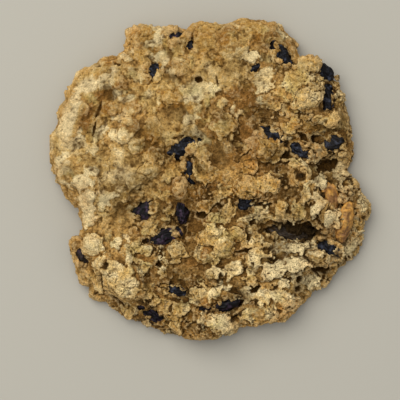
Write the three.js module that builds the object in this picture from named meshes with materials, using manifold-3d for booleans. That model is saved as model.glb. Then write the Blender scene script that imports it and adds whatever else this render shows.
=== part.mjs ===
// An oatmeal raisin cookie: a craggy, flat-based slab of baked dough with rolled oats fused over it,
// and raisins set in pockets of it. Millimetres, +Z up. The cookie lies on z = 0, and the origin is
// under the middle of its bounding box.
import * as THREE from "three";
import { mergeVertices } from "three/addons/utils/BufferGeometryUtils.js";
import Module from "manifold-3d";

const wasm = await Module();
wasm.setup();

// Driving sizes of the dough.
const COOKIE_RADIUS = 44.2;
const WIDEST_HEIGHT = 3.2;
const SHOULDER_RISE = 5.9;
const SHOULDER_ROUND = 6.0;
const DOME_RISE = 1.5;
const BASE_TUCK = 2.4;
const TRIM_DEPTH = 1.5;
const LUMP_SIZE = 4.2;
const LUMP_HEIGHT = 0.55;
const SKIRT_HEIGHT_SHARE = 0.3;
const SKIRT_WIDTH = 4.4;
const SKIRT_STEP = 1.6;
const OUTLINE_STEPS = 72;
const OUTLINE_TURN = 3;

// Driving sizes of the oats. A tilt is in radians, either way from lying flat on the dough.
const FLAKE_SIDES = 6;
const FLAKE_LENGTH = 7.2;
const FLAKE_THICKNESS = 1.7;
const FLAKE_TILT = 0.37;
const FLAKE_CURL = 0.05;
const FLAKE_DOME = 0.3;
const FLAKE_RAGGED = 0.18;
const FLAKE_OVERHANG = 0.3;
const PLATE_TILT = 0.12;
const TOP_FLAKES = 64;
const RIM_FLAKES = 24;
const RIM_FLAKE_INSET = 1.5;
const GOLDEN_ANGLE = Math.PI * (3 - Math.sqrt(5));

// Driving sizes of the raisins and of the pockets they sit in.
const RAISIN_GAP = 0.46;
const RAISIN_SINK = 0.12;
const RAISIN_DIP = 1.3;
const RAISIN_FOLD_DEPTH = 0.09;
const RAISIN_BEND = 0.12;
const RAISIN_AROUND = 10;
const RAISIN_ALONG = 6;
const RIM_RAISIN_INSET = 2;
const RIM_RAISIN_HEIGHT = 5.2;

// Lobes and notches of the rim: direction and half-width in degrees, reach outwards in mm.
const RIM_LOBES = [
  { at: 3.2, spread: 5.4, reach: -6.5 },
  { at: 10.5, spread: 3.5, reach: -2.3 },
  { at: 21, spread: 8, reach: -0.9 },
  { at: 40, spread: 8, reach: 0.8 },
  { at: 53, spread: 3.4, reach: -2.2 },
  { at: 69.5, spread: 12.6, reach: 2.4 },
  { at: 84.5, spread: 4.6, reach: -1.5 },
  { at: 101, spread: 5.6, reach: -2 },
  { at: 115.5, spread: 4.6, reach: 2.8 },
  { at: 124, spread: 5.2, reach: -2 },
  { at: 146, spread: 13, reach: 2.2 },
  { at: 167.5, spread: 9, reach: 1.4 },
  { at: 187, spread: 7.5, reach: -2.6 },
  { at: 199, spread: 8.8, reach: -7.2 },
  { at: 230, spread: 16, reach: 2 },
  { at: 259, spread: 16, reach: 1.2 },
  { at: 285.5, spread: 5.6, reach: -2.4 },
  { at: 300, spread: 4, reach: 0.7 },
  { at: 311, spread: 5, reach: -1.3 },
  { at: 327, spread: 8, reach: 1 },
  { at: 337, spread: 5, reach: 1.6 },
  { at: 348, spread: 2.6, reach: 2.1 },
];

// Stretches where a thin skirt of dough spread out past the thicker mass: middle and half-width in degrees.
const SKIRTS = [
  { at: 233, spread: 24 },
  { at: 326, spread: 15 },
];

// Ridges (+) and hollows (-) of the top, each along a line from one point to another, in mm.
const FOLDS = [
  { from: [-31, 31], to: [-40, 15], spread: 4.2, rise: 1.5 },
  { from: [-28, 25], to: [-33.5, 10], spread: 2.6, rise: -2.4 },
  { from: [-20, 12], to: [-12, 2], spread: 11, rise: 1.2 },
  { from: [6, 22], to: [14, 15], spread: 4.8, rise: -2.0 },
  { from: [19, 27], to: [26, 21], spread: 6.0, rise: 1.5 },
  { from: [-6, 36], to: [3, 40], spread: 5.0, rise: 1.0 },
  { from: [15, -13.2], to: [31, -17.5], spread: 3.4, rise: -4.6 },
  { from: [16, -20.5], to: [31, -22], spread: 3.6, rise: 1.7 },
  { from: [9, -3], to: [30, -6], spread: 5.0, rise: 0.9 },
  { from: [-15, -13], to: [-4, -15], spread: 4.8, rise: -2.2 },
  { from: [-33, -6], to: [-36, 4], spread: 5.0, rise: 0.9 },
  { from: [-27, -28], to: [-20, -30], spread: 6.0, rise: 1.1 },
  { from: [0, -22], to: [6, -18], spread: 5.0, rise: 1.2 },
  { from: [-4, -29], to: [8, -33], spread: 3.4, rise: -1.5 },
  { from: [33, 2], to: [36, 6], spread: 3.6, rise: -2.0 },
];

// Raisins that show: place of the middle, length, width and height in mm, and turn in degrees.
// lift raises one out of its hollow, and pitch tips its far end down.
const RAISINS = [
  { at: [-6.9, 8.6], size: [11, 6, 5], turn: 20, pitch: 6, lift: 0 },
  { at: [-5.5, 1.1], size: [8, 5, 4.4], turn: -68, pitch: 10, lift: -0.9 },
  { at: [-18.7, -9], size: [8.5, 6.5, 5], turn: 45, pitch: -8, lift: -0.2 },
  { at: [-7.6, -8.9], size: [8, 4.8, 4.6], turn: 88, pitch: 12, lift: -0.6 },
  { at: [-12.3, -16.5], size: [10.5, 6.2, 5], turn: 18, pitch: 0, lift: -0.4 },
  { at: [17.8, 12.1], size: [10, 5.2, 4.8], turn: -28, pitch: 5, lift: -0.3 },
  { at: [26.4, 7.2], size: [9, 5.2, 4.8], turn: -30, pitch: -6, lift: -0.4 },
  { at: [34.4, 10.4], size: [8, 6, 5], turn: 15, pitch: -14, lift: -0.6 },
  { at: [31.7, 29.4], size: [7, 6, 5.2], turn: -30, pitch: 12, lift: 0.3 },
  { at: [33, 21.6], size: [9.5, 5, 4.6], turn: 88, pitch: 4, lift: -0.7 },
  { at: [20.2, 34.7], size: [10, 6, 5], turn: -62, pitch: -12, lift: -0.3 },
  { at: [12.4, 30.7], size: [7, 4.6, 4.4], turn: 60, pitch: 0, lift: -0.8 },
  { at: [-16.2, 29.6], size: [7.5, 5.6, 4.8], turn: 35, pitch: 8, lift: -0.4 },
  { at: [-7.5, 37.4], size: [9.5, 6, 5], turn: -40, pitch: -6, lift: -0.5 },
  { at: [9.9, -7.3], size: [8, 4.8, 4.6], turn: -12, pitch: 8, lift: -0.6 },
  { at: [22.4, -15], size: [12.5, 6.2, 4.2], turn: -10, pitch: 4, lift: -0.5 },
  { at: [33.8, -20.4], size: [7.5, 4.8, 4.4], turn: -28, pitch: -8, lift: -0.3 },
  { at: [-9.7, -31.7], size: [8, 5, 4.6], turn: -20, pitch: 0, lift: -0.5 },
  { at: [-16.7, -37.7], size: [10, 5.6, 4.8], turn: -42, pitch: 0, lift: -0.1 },
  { at: [2.6, -35.9], size: [12, 6.4, 5], turn: 12, pitch: -4, lift: -0.2 },
  { at: [-36.2, -20.6], size: [8, 4.6, 4.4], turn: -62, pitch: 0, lift: -0.4 },
];

// Paler golden raisins, plumper and standing further out.
const GOLDEN_RAISINS = [
  { at: [33.6, -5.2], size: [8.2, 5.4, 5.2], turn: -78, pitch: -6, lift: 0.5 },
  { at: [38, -12.4], size: [12, 5.2, 5.6], turn: 78, pitch: -10, lift: 0.3 },
];

// The broad plates that catch the eye: place, length and width in mm, turn in degrees.
const PLATES = [
  { at: [4, 14.2], size: [7, 6.4], turn: 20 },
  { at: [-20.2, 8.8], size: [4.6, 3.8], turn: 70 },
  { at: [-39.6, 1.6], size: [7.4, 3.6], turn: 84 },
  { at: [-34.6, -1.4], size: [9, 6], turn: -30 },
  { at: [-33.2, -6.6], size: [8.4, 7], turn: 60 },
  { at: [-34.2, -12.2], size: [6.4, 5.6], turn: 10 },
  { at: [-17.4, 1.2], size: [5.2, 4], turn: 30 },
  { at: [-1.6, 5.2], size: [9, 4], turn: -62 },
  { at: [9.6, -2.6], size: [6, 5.2], turn: 0 },
  { at: [15.4, -3], size: [6, 4.6], turn: 40 },
  { at: [28, -4.6], size: [7, 4.2], turn: 80 },
  { at: [29.8, 7.4], size: [5.8, 5.4], turn: 0 },
  { at: [27.8, 22.4], size: [7.6, 5.6], turn: 15 },
  { at: [33, 16.4], size: [6, 4.6], turn: -20 },
  { at: [16.6, 8], size: [7.2, 6], turn: -10 },
  { at: [22.6, -20.2], size: [8.6, 4.6], turn: 0 },
  { at: [29.6, -22], size: [7, 4.8], turn: -10 },
  { at: [16.8, -25.6], size: [8, 4.8], turn: 22 },
  { at: [-0.8, -15.4], size: [8.4, 6], turn: 5 },
  { at: [4.8, -19.4], size: [5.4, 4.6], turn: 65 },
  { at: [-9.2, -19.8], size: [5.6, 5.4], turn: 30 },
  { at: [1.2, -26.6], size: [5.4, 5.2], turn: 0 },
  { at: [-3.8, -31.2], size: [6, 4.6], turn: 20 },
  { at: [3.4, -40.6], size: [7.4, 5.2], turn: 0 },
  { at: [-23, -28.8], size: [11, 9.6], turn: -20 },
  { at: [-33.8, -19], size: [7.4, 6], turn: 20 },
  { at: [32.6, -11.2], size: [6.8, 4.6], turn: 70 },
  { at: [29.8, -7.4], size: [6.8, 3.6], turn: 84 },
  { at: [31.4, -15.2], size: [6, 4.2], turn: -10 },
  { at: [39.6, -19], size: [5.4, 4.4], turn: 60 },
];

// Numbers from 0 to 1 that come out the same in every build.
function seededRandom(seed) {
  let state = seed;
  return () => {
    state = (state + 0x6d2b79f5) | 0;
    let mixed = Math.imul(state ^ (state >>> 15), 1 | state);
    mixed = (mixed + Math.imul(mixed ^ (mixed >>> 7), 61 | mixed)) ^ mixed;
    return ((mixed ^ (mixed >>> 14)) >>> 0) / 2 ** 32;
  };
}

const between = (low, high, random) => low + (high - low) * random();
const eitherWay = (reach, random) => between(-reach, reach, random);
const bell = (distance, spread) => Math.exp(-((distance / spread) ** 2));
const plateau = (distance, spread) => Math.exp(-((distance / spread) ** 4));

function degreesApart(a, b) {
  return Math.abs(((((a - b) % 360) + 540) % 360) - 180);
}

function rimRadius(angle) {
  const degrees = THREE.MathUtils.radToDeg(angle);
  return RIM_LOBES.reduce(
    (radius, { at, spread, reach }) => radius + reach * plateau(degreesApart(degrees, at), spread),
    COOKIE_RADIUS,
  );
}

function skirtShare(angle) {
  const degrees = THREE.MathUtils.radToDeg(angle);
  const shares = SKIRTS.map(({ at, spread }) => {
    const past = degreesApart(degrees, at) - spread;
    return 1 - THREE.MathUtils.smoothstep(past, -6, 2);
  });
  return Math.max(...shares);
}

function distanceToLine(x, y, [fromX, fromY], [toX, toY]) {
  const alongX = toX - fromX;
  const alongY = toY - fromY;
  const share = ((x - fromX) * alongX + (y - fromY) * alongY) / (alongX ** 2 + alongY ** 2);
  const t = THREE.MathUtils.clamp(share, 0, 1);
  return Math.hypot(x - fromX - t * alongX, y - fromY - t * alongY);
}

// The middle line of a raisin, as seen from above.
function raisinLine({ at: [x, y], size: [length, width], turn }) {
  const half = (length - width) / 2;
  const angle = THREE.MathUtils.degToRad(turn);
  const reach = [half * Math.cos(angle), half * Math.sin(angle)];
  return [
    [x - reach[0], y - reach[1]],
    [x + reach[0], y + reach[1]],
  ];
}

const ALL_RAISINS = [...RAISINS, ...GOLDEN_RAISINS];

// Smooth lumps from a grid of random heights, -1 to 1.
const LATTICE = 64;
const latticeRandom = seededRandom(11);
const latticeHeights = Array.from({ length: LATTICE ** 2 }, () => 2 * latticeRandom() - 1);

function lumps(x, y) {
  const u = x / LUMP_SIZE + LATTICE / 2;
  const v = y / LUMP_SIZE + LATTICE / 2;
  const column = Math.floor(u);
  const row = Math.floor(v);
  const height = (c, r) => latticeHeights[((r + LATTICE) % LATTICE) * LATTICE + ((c + LATTICE) % LATTICE)];
  const across = THREE.MathUtils.smoothstep(u - column, 0, 1);
  const up = THREE.MathUtils.smoothstep(v - row, 0, 1);
  const low = THREE.MathUtils.lerp(height(column, row), height(column + 1, row), across);
  const high = THREE.MathUtils.lerp(height(column, row + 1), height(column + 1, row + 1), across);
  return THREE.MathUtils.lerp(low, high, up);
}

// Height of the dough at a point, where inset is how far that point lies in from the rim.
function doughHeight(x, y, inset) {
  const angle = Math.atan2(y, x);
  const round = Math.sqrt(1 - (1 - Math.min(inset / SHOULDER_ROUND, 1)) ** 2);
  const step = THREE.MathUtils.smoothstep(inset, SKIRT_WIDTH, SKIRT_WIDTH + SKIRT_STEP);
  const stepped = THREE.MathUtils.lerp(SKIRT_HEIGHT_SHARE * round, 1, step);
  const shoulder = THREE.MathUtils.lerp(round, stepped, skirtShare(angle));
  let height = WIDEST_HEIGHT + SHOULDER_RISE * shoulder;
  height += DOME_RISE * Math.min(inset / COOKIE_RADIUS, 1);
  let relief = LUMP_HEIGHT * lumps(x, y);
  for (const { from, to, spread, rise } of FOLDS)
    relief += rise * bell(distanceToLine(x, y, from, to), spread);
  for (const raisin of ALL_RAISINS) {
    const [from, to] = raisinLine(raisin);
    relief -= RAISIN_DIP * bell(distanceToLine(x, y, from, to), raisin.size[1] * 0.75);
  }
  return height + relief * THREE.MathUtils.smoothstep(inset, 0, SHOULDER_ROUND * 0.6);
}

function topHeight(x, y) {
  const inset = rimRadius(Math.atan2(y, x)) - Math.hypot(x, y);
  return doughHeight(x, y, Math.max(inset, 0));
}

// The way the top of the dough faces at a point.
function topNormal(x, y) {
  const reach = 1.2;
  const slopeX = (topHeight(x + reach, y) - topHeight(x - reach, y)) / (2 * reach);
  const slopeY = (topHeight(x, y + reach) - topHeight(x, y - reach)) / (2 * reach);
  return new THREE.Vector3(-slopeX, -slopeY, 1).normalize();
}

function bareMesh(geometry) {
  geometry.deleteAttribute("uv");
  geometry.deleteAttribute("normal");
  return mergeVertices(geometry, 1e-4);
}

// Moves every point of a geometry by a function that changes the vector it is given.
function reshape(geometry, move) {
  const points = geometry.attributes.position;
  const point = new THREE.Vector3();
  for (let i = 0; i < points.count; i++) {
    point.fromBufferAttribute(points, i);
    move(point);
    points.setXYZ(i, point.x, point.y, point.z);
  }
  return geometry;
}

function solidOf(geometry) {
  return new wasm.Manifold(
    new wasm.Mesh({
      numProp: 3,
      vertProperties: geometry.attributes.position.array,
      triVerts: new Uint32Array(geometry.index.array),
    }),
  );
}

function geometryOf(solid) {
  const mesh = solid.getMesh();
  return new THREE.BufferGeometry()
    .setAttribute("position", new THREE.BufferAttribute(mesh.vertProperties, 3))
    .setIndex(new THREE.BufferAttribute(mesh.triVerts, 1));
}

// The slab of dough, a lathed disc whose rim and top are then pushed into shape. It is turned first, so
// that its corners fall on the tips and in the notches of the rim.
function doughSlab() {
  const insets = [37, 30, 23.5, 17.5, 12.5, 8.5, 5.8, 4, 2.2, 0.8];
  const profile = [new THREE.Vector2(0, WIDEST_HEIGHT + 1)];
  for (const inset of insets) profile.push(new THREE.Vector2(COOKIE_RADIUS - inset, WIDEST_HEIGHT + 1));
  profile.push(new THREE.Vector2(COOKIE_RADIUS, WIDEST_HEIGHT));
  profile.push(new THREE.Vector2(COOKIE_RADIUS - 0.25 * BASE_TUCK, 0.4 * WIDEST_HEIGHT));
  profile.push(new THREE.Vector2(COOKIE_RADIUS - BASE_TUCK, -TRIM_DEPTH));
  profile.push(new THREE.Vector2(0, -TRIM_DEPTH));
  const disc = bareMesh(new THREE.LatheGeometry(profile.reverse(), OUTLINE_STEPS));
  disc.rotateX(Math.PI / 2).rotateZ(THREE.MathUtils.degToRad(OUTLINE_TURN));
  return reshape(disc, (point) => {
    const flatRadius = Math.hypot(point.x, point.y);
    const stretch = rimRadius(Math.atan2(point.y, point.x)) / COOKIE_RADIUS;
    point.x *= stretch;
    point.y *= stretch;
    if (point.z > WIDEST_HEIGHT + 0.5) point.z = doughHeight(point.x, point.y, COOKIE_RADIUS - flatRadius);
  });
}

// One rolled oat in its coat of dough: an oval plate with a ragged outline, a domed face and a curl.
function oatFlake(length, width, thickness, random) {
  const plate = bareMesh(new THREE.CylinderGeometry(0.5, 0.42, thickness, FLAKE_SIDES));
  plate.rotateX(Math.PI / 2);
  const curl = eitherWay(FLAKE_CURL, random) / 2;
  return reshape(plate, (point) => {
    const middle = Math.hypot(point.x, point.y) < 0.1;
    const ragged = middle ? 1 : 1 + eitherWay(FLAKE_RAGGED, random);
    point.x *= length * ragged;
    point.y *= width * ragged;
    point.z += (middle && point.z > 0 ? FLAKE_DOME * thickness : 0) - curl * point.x ** 2;
  });
}

// Lays a geometry's XY plane on a point so that its Z points along normal, turned and tipped.
function lay(geometry, place, normal, turn, tip) {
  const facing = new THREE.Quaternion().setFromUnitVectors(new THREE.Vector3(0, 0, 1), normal);
  const turned = new THREE.Quaternion().setFromEuler(new THREE.Euler(tip[0], tip[1], turn, "ZXY"));
  const matrix = new THREE.Matrix4().compose(place, facing.multiply(turned), new THREE.Vector3(1, 1, 1));
  return geometry.applyMatrix4(matrix);
}

// Draws the points of an oat that stand out too far back to the rim.
function heldIn(flake) {
  return reshape(flake, (point) => {
    const furthest = rimRadius(Math.atan2(point.y, point.x)) + FLAKE_OVERHANG;
    const share = Math.min(furthest / Math.hypot(point.x, point.y), 1);
    point.x *= share;
    point.y *= share;
  });
}

function clearOfRaisins(x, y, room) {
  return ALL_RAISINS.every((raisin) => {
    const [from, to] = raisinLine(raisin);
    return distanceToLine(x, y, from, to) > raisin.size[1] / 2 + room;
  });
}

// The broad plates, laid flat on the dough where they are listed.
function broadPlates(random) {
  return PLATES.map(({ at: [x, y], size: [length, width], turn }) => {
    const thickness = FLAKE_THICKNESS * between(1.05, 1.4, random);
    const flake = oatFlake(length, width, thickness, random);
    const place = new THREE.Vector3(x, y, topHeight(x, y) + 0.25 * thickness);
    const tip = [eitherWay(PLATE_TILT, random), eitherWay(PLATE_TILT, random)];
    return lay(flake, place, topNormal(x, y), THREE.MathUtils.degToRad(turn), tip);
  });
}

// Oats spread evenly over the top by the golden angle, each a little out of place, size and level.
function topFlakes(random) {
  const flakes = [];
  for (let i = 0; i < TOP_FLAKES; i++) {
    const angle = i * GOLDEN_ANGLE + 0.5 * random();
    const radius = (rimRadius(angle) - 0.3 * FLAKE_LENGTH) * Math.sqrt((i + 0.5) / TOP_FLAKES);
    const x = radius * Math.cos(angle) + eitherWay(0.8, random);
    const y = radius * Math.sin(angle) + eitherWay(0.8, random);
    const length = FLAKE_LENGTH * between(0.64, 1.1, random);
    const width = length * between(0.55, 0.85, random);
    const thickness = FLAKE_THICKNESS * between(0.85, 1.35, random);
    const turn = Math.PI * random();
    const tip = [eitherWay(FLAKE_TILT, random), eitherWay(FLAKE_TILT, random)];
    const lift = thickness * between(0.1, 0.4, random);
    if (!clearOfRaisins(x, y, 0.6)) continue;
    const flake = oatFlake(length, width, thickness, random);
    flakes.push(lay(flake, new THREE.Vector3(x, y, topHeight(x, y) + lift), topNormal(x, y), turn, tip));
  }
  return flakes;
}

// Oats round the rim, from just above the base to the shoulder, with their outer edges standing out.
function rimFlakes(random) {
  const flakes = [];
  for (let i = 0; i < RIM_FLAKES; i++) {
    const angle = (2 * Math.PI * (i + 0.6 * random())) / RIM_FLAKES;
    const skirt = skirtShare(angle);
    const height = (0.8 + 1.45 * ((i * 0.618) % 1)) * WIDEST_HEIGHT * (1 - 0.4 * skirt);
    const share = Math.max(height - WIDEST_HEIGHT, 0) / (SHOULDER_RISE * (1 - 0.6 * skirt));
    const inset = RIM_FLAKE_INSET + SHOULDER_ROUND * (1 - Math.sqrt(1 - Math.min(share, 0.95) ** 2));
    const radius = rimRadius(angle) - inset;
    const place = new THREE.Vector3(radius * Math.cos(angle), radius * Math.sin(angle), height);
    const length = FLAKE_LENGTH * between(0.65, 1.05, random);
    const width = length * between(0.5, 0.7, random);
    const thickness = FLAKE_THICKNESS * between(0.9, 1.5, random);
    const steepness = between(1.1, 2.3, random);
    const normal = new THREE.Vector3(Math.cos(angle), Math.sin(angle), steepness).normalize();
    const tip = [eitherWay(FLAKE_TILT, random), eitherWay(FLAKE_TILT, random)];
    if (!clearOfRaisins(place.x, place.y, 1.2)) continue;
    const flake = oatFlake(length, width, thickness, random);
    flakes.push(lay(flake, place, normal, angle + Math.PI / 2, tip));
  }
  return flakes;
}

// The middle of a raisin, which sits low in its hollow, and lower where it clings to the rim.
function raisinMiddle({ at: [x, y], size: [, , height], lift }) {
  const settled = topHeight(x, y) - RAISIN_SINK * height + lift;
  const atRim = rimRadius(Math.atan2(y, x)) - Math.hypot(x, y) < RIM_RAISIN_INSET;
  return new THREE.Vector3(x, y, atRim ? Math.min(settled, RIM_RAISIN_HEIGHT) : settled);
}

// A raisin, grown by gap on every side: a blunt oval, bent and creased along its length.
function raisinShape(raisin, index, gap) {
  const [length, width, height] = raisin.size;
  const skin = bareMesh(new THREE.SphereGeometry(0.5, RAISIN_AROUND, RAISIN_ALONG));
  skin.rotateZ(Math.PI / 2);
  const bend = RAISIN_BEND * width * Math.sin(index * GOLDEN_ANGLE);
  reshape(skin, (point) => {
    const around = Math.atan2(point.z, point.y);
    const crease = 1 - RAISIN_FOLD_DEPTH * (1 + Math.cos((RAISIN_AROUND / 2) * around));
    const uneven = 1 + 0.07 * Math.sin(3 * around + 5 * point.x + index);
    point.y = point.y * crease * uneven * (width + 2 * gap) + bend * (1 - 4 * point.x ** 2);
    point.z *= crease * uneven * (height + 2 * gap);
    point.x *= length + 2 * gap;
  });
  const up = new THREE.Vector3(0, 0, 1);
  const tip = [0, THREE.MathUtils.degToRad(raisin.pitch)];
  return lay(skin, raisinMiddle(raisin), up, THREE.MathUtils.degToRad(raisin.turn), tip);
}

// The largest of the bodies a solid falls into, so that scraps cut loose by the pockets are dropped.
function largestBody(solid) {
  return solid.decompose().reduce((a, b) => (a.volume() > b.volume() ? a : b));
}

function floorCut() {
  const side = 4 * COOKIE_RADIUS;
  const below = bareMesh(new THREE.BoxGeometry(side, side, 20));
  return solidOf(below.translate(0, 0, -10));
}

function cookieGeometry() {
  const random = seededRandom(2024);
  const oats = [...broadPlates(random), ...topFlakes(random), ...rimFlakes(random)];
  let cookie = solidOf(doughSlab());
  for (const flake of oats) cookie = cookie.add(solidOf(heldIn(flake)));
  ALL_RAISINS.forEach((raisin, index) => {
    cookie = cookie.subtract(solidOf(raisinShape(raisin, index, RAISIN_GAP)));
  });
  return geometryOf(largestBody(cookie.subtract(floorCut())));
}

const doughMaterial = new THREE.MeshStandardMaterial({ color: 0xb98e58, roughness: 0.85, metalness: 0 });
const raisinMaterial = new THREE.MeshStandardMaterial({ color: 0x1d1617, roughness: 0.45, metalness: 0 });
const goldenMaterial = new THREE.MeshStandardMaterial({ color: 0x99602b, roughness: 0.4, metalness: 0 });

function piece(name, geometry, material) {
  geometry.computeVertexNormals();
  const mesh = new THREE.Mesh(geometry, material);
  mesh.name = name;
  return mesh;
}

const group = new THREE.Group();
group.add(piece("cookie", cookieGeometry(), doughMaterial));
ALL_RAISINS.forEach((raisin, index) => {
  const golden = index >= RAISINS.length;
  const number = golden ? index - RAISINS.length + 1 : index + 1;
  const name = (golden ? "golden_raisin_" : "raisin_") + String(number).padStart(2, "0");
  group.add(piece(name, raisinShape(raisin, index, 0), golden ? goldenMaterial : raisinMaterial));
});

const middle = new THREE.Box3().setFromObject(group).getCenter(new THREE.Vector3());
group.position.set(-middle.x, -middle.y, 0);

export default group;
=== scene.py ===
"""An oatmeal raisin cookie. The raisins are the frame's own, rounded and then shrivelled into folds. The
crust is one skin, drawn over the dough of the frame, over shells of dough on the raisins with windows that
they show through, and over the crumbs round those windows. The skin is then broken up into plates and
small pieces, with cracks, holes and caves, and roughened. Lengths in the tables are in millimetres;
everything built is in metres."""
import itertools
import math
import random

import bmesh
import bpy
import numpy as np
from mathutils import Euler, Matrix, Vector, bvhtree


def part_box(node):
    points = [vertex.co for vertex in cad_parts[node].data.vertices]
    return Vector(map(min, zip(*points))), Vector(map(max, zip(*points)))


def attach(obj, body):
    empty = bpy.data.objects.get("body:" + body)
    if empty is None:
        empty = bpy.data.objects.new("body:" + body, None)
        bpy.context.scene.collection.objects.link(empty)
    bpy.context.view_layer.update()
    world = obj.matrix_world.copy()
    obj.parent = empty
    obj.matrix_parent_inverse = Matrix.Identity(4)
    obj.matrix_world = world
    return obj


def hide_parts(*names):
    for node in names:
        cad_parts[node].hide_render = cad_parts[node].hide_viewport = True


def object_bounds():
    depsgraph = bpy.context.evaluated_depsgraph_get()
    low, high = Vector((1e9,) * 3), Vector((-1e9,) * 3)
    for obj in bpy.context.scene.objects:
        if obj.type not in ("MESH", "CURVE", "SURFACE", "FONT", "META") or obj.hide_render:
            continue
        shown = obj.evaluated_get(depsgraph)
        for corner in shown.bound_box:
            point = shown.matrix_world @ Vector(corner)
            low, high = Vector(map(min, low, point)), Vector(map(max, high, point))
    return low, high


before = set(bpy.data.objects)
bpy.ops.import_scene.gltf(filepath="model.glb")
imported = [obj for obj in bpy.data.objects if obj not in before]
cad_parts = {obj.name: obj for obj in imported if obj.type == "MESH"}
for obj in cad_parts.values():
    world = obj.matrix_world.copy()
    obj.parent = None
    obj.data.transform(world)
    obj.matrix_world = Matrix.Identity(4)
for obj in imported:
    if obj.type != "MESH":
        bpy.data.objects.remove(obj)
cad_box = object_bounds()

MM = 0.001

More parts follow.
